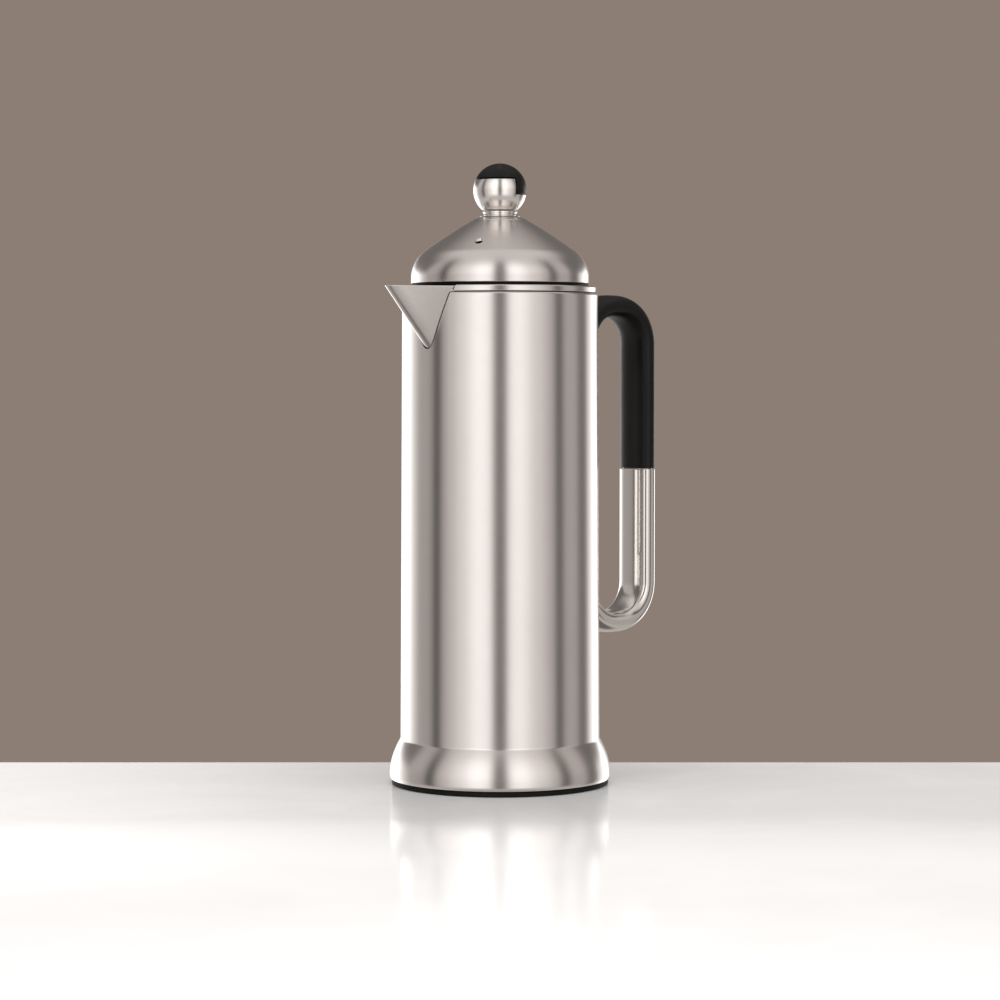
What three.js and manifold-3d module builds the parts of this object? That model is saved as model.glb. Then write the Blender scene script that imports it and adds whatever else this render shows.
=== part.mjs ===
// A french press with a double-walled steel vessel, a folded sheet spout and a bent tube handle.
// A domed lid rests on the rim, and a rod with a ball knob carries the filter stack through it.
// Millimetres, +Z up. The origin is the centre of the underside, the spout points along -X and
// the handle along +X. All turned pieces share the Z axis. The plunger is fully down.

import * as THREE from 'three';
import { mergeVertices } from 'three/addons/utils/BufferGeometryUtils.js';
import Module from 'manifold-3d';

const wasm = await Module();
wasm.setup();

// ---------------------------------------------------------------- fits shared by all pieces
const touchGap = 0.3;             // between two pieces that rest on or pass through each other
const slideGap = 0.4;             // between the filter's edge and the vessel's bore
const largeSides = 40;            // facets round the vessel, the lid and the filter plates
const smallSides = 20;            // facets round the knob, the collar and the nut's hole
const rodSides = 32;
const plateHoleSides = 8;
const cutMargin = 2;              // how far a cutting shape passes beyond what it cuts

// ---------------------------------------------------------------- vessel
const padThickness = 2.6;         // black pad that the press stands on
const padInset = 1.1;             // the pad's edge sits this far inside the foot's widest radius
const footFlare = 5.5;            // from the waist out to the foot's widest radius
const footEdgeHeight = 1.6;       // from the sheet's lower edge up to the widest radius
const footEdgeTuck = 0.5;         // how far the lower edge turns in
const footRise = 5.5;             // straight tendency of the flare above its widest radius
const footLean = [4.1, 7.3];      // the flare arrives at the crease along this run and rise
const waistZ = 22.8;              // crease where the foot meets the straight body
const bodyTaper = 1.1;            // the body is this much wider at the crease than at the top
const shellTopZ = 245.0;
const shellCornerRadius = 1.2;    // rolled top edge of the shell
const shellWall = 1.0;
const basePlateThickness = 1.0;
const basePlateLift = 0.2;        // above the shell's lower edge
const padBevel = 0.3;
const mouthRadius = 43.2;         // bore of the inner vessel
const innerWall = 1.0;
const floorZ = 11.0;              // top of the inner vessel's floor
const floorCornerRadius = 4.0;
const rimSeam = 0.4;              // open line between the shell's top and the rim band
const rimHeight = 3.0;
const rimOverhang = 3.7;          // how far the rim band reaches past the inner wall
const rimStep = 0.9;              // the rim band is this much narrower than the shell's top
const rimBevel = 0.5;

// ---------------------------------------------------------------- spout
const spoutProjection = 26.7;     // from the shell's top radius out to the nose
const spoutDrop = 0.5;            // the spout's top edge lies this far below the rim's top
const spoutDepth = 29.8;          // height of the V where it leaves the shell
const spoutHalfAngle = 23.5;      // degrees, in plan, between the middle line and a side
const spoutFoldRadius = 3.0;      // outside radius of the fold along the keel
const spoutSheet = 1.0;
const spoutFlush = 0.1;           // its inner end stays this far outside the bore
const spoutBack = 0.6;            // before trimming, the V reaches in to this share of the bore

// ---------------------------------------------------------------- handle
const tubeWidth = 21.2;           // across the flattened tube, along Y
const tubeThickness = 11.4;       // through the flattened tube, along the radius
const tubeWall = 1.2;
const handleRise = 0.5;           // top of the upper bend over the shell's top
const handleBottomZ = 71.3;       // underside of the lower bend
const bendRadius = 19.9;          // centre line of all four bends
const bendRun = 3.9;              // short straight run between the two bends at each end
const legLength = 12.0;           // straight leg lying against the shell
const legBite = 0.5;              // the leg's flat face is dished this deep to seat on the shell
const gripLength = 89.7;          // from the handle's top down to where bare steel begins
const spigotLength = 26.0;        // how far the core reaches down into the bare tube
const coreWall = 1.0;
const gripEndWall = 1.5;          // closed end of the grip on the upper leg
const plugDepth = 4.0;
const weldPadWidth = 8.0;
const weldPadHeight = 8.0;
const weldPadRaise = 1.0;         // above the closed end of the grip

// ---------------------------------------------------------------- lid
const lidWall = 1.0;
const lidOverlap = 1.15;          // the lid is this much wider than the bore
const lidGap = 1.5;               // dark line between the rim and the dome's edge
const sideHeight = 3.1;           // straight side of the dome, below its shoulder
const coneFootHeight = 16.4;      // from the dome's edge to where the shoulder meets the cone
const coneFootInset = 7.05;       // and how far in from the dome's side
const shoulderFullness = 5.6;     // how far the shoulder's curve carries on straight at its foot
const shoulderEase = 4.2;         // and where it runs into the cone
const coneBulge = 0.8;            // the cone is faintly domed
const coneTopHeight = 32.1;
const coneTopMargin = 2.8;        // the cone ends this far outside the neck collar
const domeHeight = 32.9;          // up to the flat seat of the neck collar
const seatMargin = 0.6;           // that seat is this much wider than the collar
const flangeThickness = 0.9;
const flangeInset = 0.15;         // the liner's flange edge lies just inside the dome's edge
const linerWall = 1.4;
const linerFloor = 1.5;
const linerUpstand = 3.8;
const skirtLength = 16.7;
const ribHeight = 1.1;
const ribRadialGap = 0.6;         // between the rib's edge and the bore
const sealHeight = 2.5;
const sealThickness = 1.6;
const ventRadius = 2.0;
const ventFromSide = 12.35;       // in from the dome's side
const ventAngle = 208;            // degrees from +X, beside the spout
const slotCount = 9;
const slotWidth = 2.4;
const slotHeight = 8.6;
const slotStep = 6.5;             // degrees between neighbouring pour slots
const slotFromEdge = 2.4;

// ---------------------------------------------------------------- neck, knob and rod
const rodRadius = 2.5;
const guideWall = 1.4;
const guideFlangeRadius = 5.8;
const guideFlangeThickness = 1.2;
const collarShankRadius = 6.0;
const collarShankLength = 10.5;
const collarFlangeRadius = 10.0;
const collarWaistRadius = 8.1;
const collarBeadRadius = 8.6;
const collarHeight = 3.0;         // from the lid's seat to the top of the bead
const collarBeadHalf = 0.7;       // half the bead's thickness
const collarLip = 0.4;            // upright edge of the flange
const coveInset = 0.2;            // the cove starts this far in from the flange's edge
const coveBulge = 0.6;            // height of the corner that the cove's curve leans to
const nutRadius = 9.2;            // across the corners of the hexagon, halved
const nutHeight = 3.4;
const knobRadius = 13.3;
const knobSeatMargin = 0.1;       // the ball's flat underside is this much wider than the bead
const capLine = 5.45;             // the black cap starts this far above the ball's centre
const capStep = 2.2;              // on the handle side it reaches this far below the centre
const capStepBack = 1.1;          // and the step itself stands this far behind the centre
const capGroove = 0.8;
const capPegRadius = 1.8;
const capPegLength = 4.0;
const capPegOffset = 5.5;
const insertLength = 6.5;
const insertWall = 1.4;
const insertRecess = 0.6;
const insertTopWall = 0.6;        // steel left between the rod's end and the cap's step

// ---------------------------------------------------------------- filter stack
const hubClearance = 1.0;         // under the hub when the plunger is fully down
const hubFlangeRadius = 8.0;
const hubFlangeThickness = 1.2;
const hubNeckRadius = 4.5;
const plateThickness = 1.0;
const crossPlateInset = 1.3;      // inside the filter's edge
const crossHubRadius = 9.0;
const crossRimWidth = 4.5;
const crossArmWidth = 7.0;
const meshThickness = 0.5;
const springCoilRadius = 2.0;
const springWrap = 300;           // degrees of the coil's round section that are closed
const shoulderRadius = 4.4;
const shoulderHeight = 3.0;
const shoulderTaper = 1.2;        // the shoulder narrows to the rod over this height
const plateHoleRadius = 3.6;
const plateHoleCounts = [6, 12];  // holes in each ring, from the rod outwards

// ---------------------------------------------------------------- worked out from the above
const footZ = padThickness + touchGap;
const rimBottomZ = shellTopZ + rimSeam;
const rimTopZ = rimBottomZ + rimHeight;
const rimRadius = mouthRadius + innerWall + rimOverhang;
const shellTopRadius = rimRadius + rimStep;
const waistRadius = shellTopRadius + bodyTaper;
const footRadius = waistRadius + footFlare;
const spoutTopZ = rimTopZ - spoutDrop;
const spoutTip = shellTopRadius + spoutProjection;
const lidRadius = mouthRadius + lidOverlap;
const lidEdgeZ = rimTopZ + lidGap;
const lidTopZ = lidEdgeZ + domeHeight;
const flangeZ = rimTopZ + touchGap;
const webTopZ = flangeZ + linerFloor;
const skirtRadius = mouthRadius - ribRadialGap - sealThickness;
const skirtZ = flangeZ - skirtLength;
const collarSeatZ = lidTopZ + touchGap;
const collarTopZ = collarSeatZ + collarHeight;
const guideRadius = rodRadius + touchGap + guideWall;
const collarBore = guideRadius + touchGap;
const shankEndZ = collarSeatZ - collarShankLength;
const knobFlatZ = collarTopZ + touchGap;
const knobSeatRadius = collarBeadRadius + knobSeatMargin;
const knobZ = knobFlatZ + Math.sqrt(knobRadius ** 2 - knobSeatRadius ** 2);
const insertTopZ = knobZ - capStep - capGroove / 2 - insertTopWall - touchGap;
const hubZ = floorZ + hubClearance;
const crossPlateZ = hubZ + hubFlangeThickness + touchGap;
const hubTopZ = crossPlateZ + plateThickness;
const meshZ = hubTopZ + touchGap;
const spiralPlateZ = meshZ + meshThickness + touchGap;
const shoulderBottomZ = spiralPlateZ + plateThickness + touchGap;
const filterRadius = mouthRadius - slideGap;
const rodHole = rodRadius + touchGap;
const handleTopZ = shellTopZ + handleRise;
const gripEndZ = handleTopZ - gripLength;
const legRadius = waistRadius + tubeThickness / 2 - legBite;
const gripRadius = legRadius + 2 * bendRadius + bendRun;
const bendTopZ = handleTopZ - tubeThickness / 2 - bendRadius;
const bendBottomZ = handleBottomZ + tubeThickness / 2 + bendRadius;
const legTopEndZ = bendTopZ - legLength;
const coreInset = tubeWall + touchGap;

// ---------------------------------------------------------------- geometry helpers
const point = (r, z) => new THREE.Vector2(r, z);

function arc(centreR, centreZ, radius, fromDegrees, toDegrees, steps) {
  const points = [];
  for (let i = 0; i <= steps; i += 1) {
    const angle = THREE.MathUtils.degToRad(fromDegrees + (toDegrees - fromDegrees) * (i / steps));
    points.push(point(centreR + radius * Math.cos(angle), centreZ + radius * Math.sin(angle)));
  }
  return points;
}

// Moves an open outline sideways by a distance, to the left of its direction.
function offsetLine(points, distance) {
  return points.map((here, i) => {
    const before = points[Math.max(i - 1, 0)];
    const after = points[Math.min(i + 1, points.length - 1)];
    const inward = (i > 0 ? here.clone().sub(before) : after.clone().sub(here)).normalize();
    const outward = (i < points.length - 1 ? after.clone().sub(here) : inward.clone()).normalize();
    const normal = inward.add(outward).normalize();
    const cosHalf = normal.dot(outward);
    return point(here.x - normal.y * distance / cosHalf, here.y + normal.x * distance / cosHalf);
  });
}

// A bent sheet: the outline plus a copy of it moved to the left by the wall.
const sheetOutline = (points, wall) => [...points, ...offsetLine(points, wall).reverse()];

// Any closed geometry as a solid that can be cut and joined.
function solid(geometry) {
  const bare = geometry.clone();
  bare.deleteAttribute('normal');
  bare.deleteAttribute('uv');
  const merged = mergeVertices(bare, 1e-4);
  const index = merged.index.array;
  const xyz = merged.attributes.position.array;
  const corner = (i) => new THREE.Vector3().fromArray(xyz, 3 * i);
  const triangles = [];
  let volume = 0;
  for (let i = 0; i < index.length; i += 3) {
    const [a, b, c] = [index[i], index[i + 1], index[i + 2]];
    if (a === b || b === c || c === a) continue;
    triangles.push([a, b, c]);
    volume += corner(a).dot(corner(b).cross(corner(c)));
  }
  const outward = volume > 0 ? triangles : triangles.map(([a, b, c]) => [a, c, b]);
  return new wasm.Manifold(new wasm.Mesh({
    numProp: 3,
    vertProperties: Float32Array.from(xyz),
    triVerts: Uint32Array.from(outward.flat()),
  }));
}

function geometryOf(manifold) {
  const mesh = manifold.getMesh();
  const geometry = new THREE.BufferGeometry();
  geometry.setAttribute('position', new THREE.BufferAttribute(mesh.vertProperties, 3));
  geometry.setIndex(new THREE.BufferAttribute(mesh.triVerts, 1));
  geometry.computeVertexNormals();
  return geometry;
}

// A profile of (radius, height) points turned about Z. An outline off the axis closes on itself.
function turned(points, sides = largeSides) {
  const onAxis = points[0].x === 0 && points[points.length - 1].x === 0;
  const profile = onAxis ? points : [...points, points[0].clone()];
  return solid(new THREE.LatheGeometry(profile, sides).rotateX(Math.PI / 2));
}

const rod = (radius, fromZ, toZ, sides = smallSides) => turned(
  [point(0, fromZ), point(radius, fromZ), point(radius, toZ), point(0, toZ)], sides);

const ring = (innerRadius, outerRadius, fromZ, toZ, sides = smallSides) => turned([
  point(innerRadius, fromZ), point(outerRadius, fromZ),
  point(outerRadius, toZ), point(innerRadius, toZ)], sides);

const block = (x, y, z, cx, cy, cz) => solid(
  new THREE.BoxGeometry(x, y, z).translate(cx, cy, cz));

// A flat plate with holes, lying between two heights.
const plate = (shape, fromZ, thickness, curveSegments) => solid(new THREE.ExtrudeGeometry(
  shape, { depth: thickness, bevelEnabled: false, curveSegments }).translate(0, 0, fromZ));

// A curve in the XZ plane whose steps follow its straight runs and bends one by one.
class BentLine extends THREE.Curve {
  constructor(x, z, headingDegrees) {
    super();
    this.heading = headingDegrees;
    this.stations = [];
    this.place(x, z);
  }

  place(x, z) {
    const angle = THREE.MathUtils.degToRad(this.heading);
    this.x = x;
    this.z = z;
    this.stations.push({
      at: new THREE.Vector3(x, 0, z),
      along: new THREE.Vector3(Math.cos(angle), 0, Math.sin(angle)),
    });
  }

  forward(distance) {
    const angle = THREE.MathUtils.degToRad(this.heading);
    this.place(this.x + distance * Math.cos(angle), this.z + distance * Math.sin(angle));
    return this;
  }

  bend(radius, degrees, steps = 6) {
    const start = THREE.MathUtils.degToRad(this.heading);
    const centreX = this.x - radius * Math.sin(start);
    const centreZ = this.z + radius * Math.cos(start);
    for (let i = 1; i <= steps; i += 1) {
      this.heading += degrees / steps;
      const angle = THREE.MathUtils.degToRad(this.heading);
      this.place(centreX + radius * Math.sin(angle), centreZ - radius * Math.cos(angle));
    }
    return this;
  }

  get steps() {
    return this.stations.length - 1;
  }

  getPointAt(u) {
    return this.stations[Math.round(u * this.steps)].at.clone();
  }

  getTangentAt(u) {
    return this.stations[Math.round(u * this.steps)].along.clone();
  }
}

// The flattened tube's section: two flats and two half-round ends, moved in by an inset.
function tubeSection(inset) {
  const radius = tubeThickness / 2 - inset;
  const flat = (tubeWidth - tubeThickness) / 2;
  const shape = new THREE.Shape();
  shape.absarc(flat, 0, radius, -Math.PI / 2, Math.PI / 2);
  shape.absarc(-flat, 0, radius, Math.PI / 2, 1.5 * Math.PI);
  return shape;
}

const sweep = (shape, line) => solid(new THREE.ExtrudeGeometry(
  shape, { steps: line.steps, bevelEnabled: false, extrudePath: line, curveSegments: 5 }));

// ---------------------------------------------------------------- vessel pieces
function shellOutline() {
  const foot = new THREE.CubicBezierCurve(
    point(footRadius, footZ + footEdgeHeight),
    point(footRadius, footZ + footEdgeHeight + footRise),
    point(waistRadius + footLean[0], waistZ - footLean[1]),
    point(waistRadius, waistZ));
  const cornerZ = shellTopZ - shellCornerRadius;
  return [
    point(footRadius - footEdgeTuck, footZ),
    point(footRadius - footEdgeTuck / 3, footZ + footEdgeHeight / 2),
    ...foot.getPoints(5),
    ...arc(shellTopRadius - shellCornerRadius, cornerZ, shellCornerRadius, 0, 90, 2),
    point(mouthRadius + innerWall + touchGap, shellTopZ),
  ];
}

function shellRadiusAt(z) {
  const cornerZ = shellTopZ - shellCornerRadius;
  return THREE.MathUtils.mapLinear(z, waistZ, cornerZ, waistRadius, shellTopRadius);
}

// The space that the shell takes up, grown by the touching gap, for seating the handle on it.
function shellClearance() {
  const lowZ = waistZ + touchGap;
  const highZ = handleTopZ + touchGap;
  return turned([
    point(0, lowZ), point(shellRadiusAt(lowZ) + touchGap, lowZ),
    point(shellRadiusAt(highZ) + touchGap, highZ), point(0, highZ)], 2 * largeSides);
}

// The spout is a V in plan that slides towards the axis as it goes down, which slopes its keel.
const keelRun = spoutTip - shellRadiusAt(spoutTopZ - spoutDepth);
const keelSlope = keelRun / spoutDepth;

function spoutLine(outwardOffset) {
  const half = THREE.MathUtils.degToRad(spoutHalfAngle);
  const radius = spoutFoldRadius + outwardOffset;
  const foldX = -(spoutTip - spoutFoldRadius);
  const backX = -spoutBack * mouthRadius;
  const startX = foldX - radius * Math.sin(half);
  const startY = radius * Math.cos(half);
  const backY = startY + (backX - startX) * Math.tan(half);
  const fold = arc(foldX, 0, radius, 90 + spoutHalfAngle, 270 - spoutHalfAngle, 8);
  return [point(backX, backY), ...fold, point(backX, -backY)];
}

function spoutPrism(outline, topZ) {
  const low = spoutTopZ - (spoutTip - mouthRadius) / keelSlope - cutMargin;
  const prism = new THREE.ExtrudeGeometry(
    new THREE.Shape(outline), { depth: topZ - low, bevelEnabled: false });
  prism.translate(0, 0, low - spoutTopZ);
  prism.applyMatrix4(new THREE.Matrix4().makeShear(0, 0, 0, 0, -keelSlope, 0));
  return solid(prism.translate(0, 0, spoutTopZ));
}

const spoutNotch = () => spoutPrism(spoutLine(touchGap), rimTopZ + cutMargin);

function spoutSolid() {
  const band = [...spoutLine(0), ...spoutLine(-spoutSheet).reverse()];
  const bore = rod(mouthRadius + spoutFlush, 0, lidTopZ, 2 * largeSides);
  return spoutPrism(band, spoutTopZ).subtract(bore);
}

const outerShell = () => turned(sheetOutline(shellOutline(), shellWall)).subtract(spoutNotch());

function innerVessel() {
  const outside = mouthRadius + innerWall;
  const inCorner = floorCornerRadius - innerWall;
  const cornerZ = floorZ + inCorner;
  const profile = [
    point(0, floorZ - innerWall),
    ...arc(outside - floorCornerRadius, cornerZ, floorCornerRadius, -90, 0, 3),
    point(outside, rimBottomZ), point(rimRadius, rimBottomZ),
    point(rimRadius, rimTopZ - rimBevel), point(rimRadius - rimBevel, rimTopZ),
    point(mouthRadius + rimBevel, rimTopZ), point(mouthRadius, rimTopZ - rimBevel),
    ...arc(mouthRadius - inCorner, cornerZ, inCorner, 0, -90, 3),
    point(0, floorZ),
  ];
  return turned(profile).subtract(spoutNotch());
}

const basePlate = () => rod(
  footRadius - footEdgeTuck - shellWall - touchGap,
  footZ + basePlateLift, footZ + basePlateLift + basePlateThickness, largeSides);

function basePad() {
  const radius = footRadius - padInset;
  return turned([
    point(0, 0), point(radius - padBevel, 0), point(radius, padBevel),
    point(radius, padThickness), point(0, padThickness)]);
}

// ---------------------------------------------------------------- handle pieces
// All of them follow one C-shaped line: down the lower leg, out, up the grip, in and down again.
const lowerLine = (legStart, endZ) => new BentLine(legRadius, bendBottomZ + legStart, -90)
  .forward(legStart).bend(bendRadius, 90).forward(bendRun).bend(bendRadius, 90)
  .forward(endZ - bendBottomZ);

const upperLine = (startZ, legEnd) => new BentLine(gripRadius, startZ, 90)
  .forward(bendTopZ - startZ).bend(bendRadius, 90).forward(bendRun).bend(bendRadius, 90)
  .forward(legEnd);

function handleTube() {
  const section = tubeSection(0);
  section.holes.push(tubeSection(tubeWall));
  return sweep(section, lowerLine(legLength, gripEndZ - touchGap)).subtract(shellClearance());
}

const tubeEndPlug = () => sweep(
  tubeSection(coreInset),
  new BentLine(legRadius, bendBottomZ + legLength, -90).forward(plugDepth))
  .subtract(shellClearance());

function handleCore() {
  const section = tubeSection(coreInset);
  section.holes.push(tubeSection(coreInset + coreWall));
  return sweep(section, upperLine(gripEndZ - spigotLength, legLength - gripEndWall - touchGap));
}

const weldPadZ = legTopEndZ + gripEndWall + touchGap + weldPadHeight / 2
  + weldPadRaise;

function weldPadBlock(grow, outerX) {
  const innerX = mouthRadius;
  return block(
    outerX - innerX, weldPadWidth + 2 * grow, weldPadHeight + 2 * grow,
    (outerX + innerX) / 2, 0, weldPadZ);
}

const gripWeldPad = () => weldPadBlock(
  0, legRadius - tubeThickness / 2 + coreInset - touchGap).subtract(shellClearance());

const handleGrip = () => sweep(tubeSection(0), upperLine(gripEndZ, legLength))
  .subtract(sweep(tubeSection(tubeWall), upperLine(gripEndZ - cutMargin, legLength - gripEndWall)))
  .subtract(shellClearance())
  .subtract(weldPadBlock(touchGap, legRadius));

// ---------------------------------------------------------------- lid pieces
function domeOutline() {
  const side = point(lidRadius, lidEdgeZ + sideHeight);
  const coneFoot = point(lidRadius - coneFootInset, lidEdgeZ + coneFootHeight);
  const coneTop = point(collarFlangeRadius + coneTopMargin, lidEdgeZ + coneTopHeight);
  const slope = coneTop.clone().sub(coneFoot).normalize();
  const shoulder = new THREE.CubicBezierCurve(
    side, side.clone().add(point(0, shoulderFullness)),
    coneFoot.clone().addScaledVector(slope, -shoulderEase), coneFoot);
  const middle = coneFoot.clone().lerp(coneTop, 0.5);
  const cone = new THREE.QuadraticBezierCurve(
    coneFoot, middle.addScaledVector(point(slope.y, -slope.x), coneBulge), coneTop);
  return [
    point(lidRadius, lidEdgeZ),
    ...shoulder.getPoints(4),
    ...cone.getPoints(2).slice(1),
    point(collarFlangeRadius + seatMargin, lidTopZ),
    point(collarShankRadius + touchGap, lidTopZ),
  ];
}

function ventTool() {
  const ventFromAxis = lidRadius - ventFromSide;
  const angle = THREE.MathUtils.degToRad(ventAngle);
  return rod(ventRadius, skirtZ, lidTopZ)
    .translate([ventFromAxis * Math.cos(angle), ventFromAxis * Math.sin(angle), 0]);
}

const lidDome = () => turned(sheetOutline(domeOutline(), lidWall)).subtract(ventTool());

function lidLiner() {
  const ribRadius = mouthRadius - ribRadialGap;
  const ribTopZ = flangeZ - sealHeight - 2 * touchGap;
  const upstandRadius = lidRadius - lidWall - touchGap;
  const liner = turned([
    point(skirtRadius - linerWall, skirtZ), point(skirtRadius, skirtZ),
    point(skirtRadius, ribTopZ - ribHeight), point(ribRadius, ribTopZ - ribHeight),
    point(ribRadius, ribTopZ), point(skirtRadius, ribTopZ), point(skirtRadius, flangeZ),
    point(lidRadius - flangeInset, flangeZ),
    point(lidRadius - flangeInset, flangeZ + flangeThickness),
    point(upstandRadius, flangeZ + flangeThickness),
    point(upstandRadius, webTopZ + linerUpstand),
    point(upstandRadius - linerWall, webTopZ + linerUpstand),
    point(upstandRadius - linerWall, webTopZ), point(rodHole + touchGap, webTopZ),
    point(rodHole + touchGap, flangeZ), point(skirtRadius - linerWall, flangeZ),
  ]);
  let cut = liner.subtract(ventTool());
  for (let i = 0; i < slotCount; i += 1) {
    const angle = 180 + (i - (slotCount - 1) / 2) * slotStep;
    const slot = block(
      4 * linerWall, slotWidth, slotHeight,
      skirtRadius - linerWall / 2, 0, skirtZ + slotFromEdge + slotHeight / 2);
    cut = cut.subtract(slot.rotate([0, 0, angle]));
  }
  return cut;
}

const lidSeal = () => ring(
  skirtRadius + touchGap, skirtRadius + touchGap + sealThickness - slideGap / 2,
  flangeZ - touchGap - sealHeight, flangeZ - touchGap, largeSides);

function neckCollar() {
  const cove = new THREE.QuadraticBezierCurve(
    point(collarFlangeRadius - coveInset, collarSeatZ + collarLip),
    point(collarWaistRadius, collarSeatZ + coveBulge),
    point(collarWaistRadius, collarTopZ - 2 * collarBeadHalf));
  return turned([
    point(collarBore, shankEndZ), point(collarShankRadius, shankEndZ),
    point(collarShankRadius, collarSeatZ), point(collarFlangeRadius, collarSeatZ),
    ...cove.getPoints(3),
    ...arc(collarBeadRadius - collarBeadHalf, collarTopZ - collarBeadHalf, collarBeadHalf, -30, 90, 3),
    point(collarBore, collarTopZ),
  ], smallSides);
}

const collarNut = () => rod(nutRadius, lidTopZ - lidWall - touchGap - nutHeight,
  lidTopZ - lidWall - touchGap, 6)
  .subtract(rod(collarShankRadius + touchGap, 0, lidTopZ));

function rodGuide() {
  const flangeTopZ = shankEndZ - touchGap;
  return turned([
    point(rodHole, flangeTopZ - guideFlangeThickness),
    point(guideFlangeRadius, flangeTopZ - guideFlangeThickness),
    point(guideFlangeRadius, flangeTopZ), point(guideRadius, flangeTopZ),
    point(guideRadius, collarTopZ - touchGap), point(rodHole, collarTopZ - touchGap),
  ], smallSides);
}

// ---------------------------------------------------------------- plunger pieces
function knobBody() {
  const seatAngle = THREE.MathUtils.radToDeg(Math.asin((knobFlatZ - knobZ) / knobRadius));
  const round = arc(0, knobZ, knobRadius, seatAngle, 90, 10);
  round[round.length - 1].x = 0;
  return turned([point(0, knobFlatZ), ...round], smallSides);
}

// The black cap takes the top of the ball and, on the handle side, more of its height.
function capSpace(inset) {
  const size = 2 * knobRadius;
  const topPart = block(2 * size, 2 * size, size, 0, 0, knobZ + capLine + inset + size / 2);
  const sidePart = block(
    size, 2 * size, size, inset - capStepBack + size / 2, 0, knobZ - capStep + inset + size / 2);
  return topPart.add(sidePart);
}

const capPeg = (grow) => rod(
  capPegRadius + grow, knobZ + capLine - capPegLength - grow, knobZ + capLine + 2 * capGroove)
  .translate([-capPegOffset, 0, 0]);

const knobBall = () => knobBody()
  .subtract(capSpace(-capGroove / 2))
  .subtract(capPeg(touchGap))
  .subtract(rod(rodHole + insertWall + touchGap, 0, insertTopZ + touchGap));

const knobCap = () => knobBody().intersect(capSpace(capGroove / 2)).add(capPeg(0));

const knobInsert = () => ring(
  rodHole, rodHole + insertWall,
  Math.max(insertTopZ - insertLength, knobFlatZ + insertRecess), insertTopZ);

const plungerRod = () => turned([
  point(0, hubZ + touchGap), point(rodRadius, hubZ + touchGap),
  point(rodRadius, shoulderBottomZ), point(shoulderRadius, shoulderBottomZ),
  point(shoulderRadius, shoulderBottomZ + shoulderHeight),
  point(rodRadius, shoulderBottomZ + shoulderHeight + shoulderTaper),
  point(rodRadius, insertTopZ), point(0, insertTopZ),
], rodSides);

function disc(radius, holeRadius) {
  const shape = new THREE.Shape();
  shape.absarc(0, 0, radius, 0, 2 * Math.PI);
  const hole = new THREE.Path();
  hole.absarc(0, 0, holeRadius, 0, 2 * Math.PI, true);
  shape.holes.push(hole);
  return shape;
}

function spiralPlate() {
  const radius = filterRadius - 2 * springCoilRadius - touchGap;
  let cut = plate(disc(radius, rodHole), spiralPlateZ, plateThickness, largeSides / 2);
  const hole = rod(
    plateHoleRadius, spiralPlateZ - cutMargin, spiralPlateZ + plateThickness + cutMargin,
    plateHoleSides);
  const ringStep = (radius - rodHole) / (plateHoleCounts.length + 1);
  for (const [ringIndex, count] of plateHoleCounts.entries()) {
    const ringRadius = rodHole + ringStep * (ringIndex + 1);
    for (let i = 0; i < count; i += 1) {
      cut = cut.subtract(hole.translate([ringRadius, 0, 0]).rotate([0, 0, (i * 360) / count]));
    }
  }
  return cut;
}

function filterSpring() {
  const centreRadius = filterRadius - springCoilRadius;
  const section = arc(
    centreRadius, spiralPlateZ + springCoilRadius, springCoilRadius, 0, springWrap, 5);
  return turned(section);
}

const meshScreen = () => plate(
  disc(filterRadius, rodHole), meshZ, meshThickness, largeSides / 2);

function crossPlate() {
  const radius = filterRadius - crossPlateInset;
  const outer = radius - crossRimWidth;
  const shape = disc(radius, hubNeckRadius + touchGap);
  const outerTurn = Math.asin(crossArmWidth / 2 / outer);
  const innerTurn = Math.asin(crossArmWidth / 2 / crossHubRadius);
  for (let i = 0; i < 4; i += 1) {
    const start = (i * Math.PI) / 2;
    const window = new THREE.Path();
    window.absarc(0, 0, outer, start + outerTurn, start + Math.PI / 2 - outerTurn, false);
    window.absarc(0, 0, crossHubRadius, start + Math.PI / 2 - innerTurn, start + innerTurn, true);
    shape.holes.push(window);
  }
  return plate(shape, crossPlateZ, plateThickness, largeSides / 4);
}

const filterHub = () => turned([
  point(rodHole, hubZ), point(hubFlangeRadius, hubZ),
  point(hubFlangeRadius, hubZ + hubFlangeThickness),
  point(hubNeckRadius, hubZ + hubFlangeThickness),
  point(hubNeckRadius, hubTopZ), point(rodHole, hubTopZ),
], smallSides);

// ---------------------------------------------------------------- assembly
const finishes = {
  satinSteel: { color: 0xc2bcb4, roughness: 0.32, metalness: 1.0 },
  plainSteel: { color: 0xb4b4b4, roughness: 0.4, metalness: 1.0 },
  blackPlastic: { color: 0x17171a, roughness: 0.45, metalness: 0.0 },
  blackRubber: { color: 0x101011, roughness: 0.7, metalness: 0.0 },
  greyRubber: { color: 0x8d8d8b, roughness: 0.7, metalness: 0.0 },
  paleNylon: { color: 0xd9d6cc, roughness: 0.5, metalness: 0.0 },
  brass: { color: 0xb08d4a, roughness: 0.35, metalness: 1.0 },
};

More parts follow.
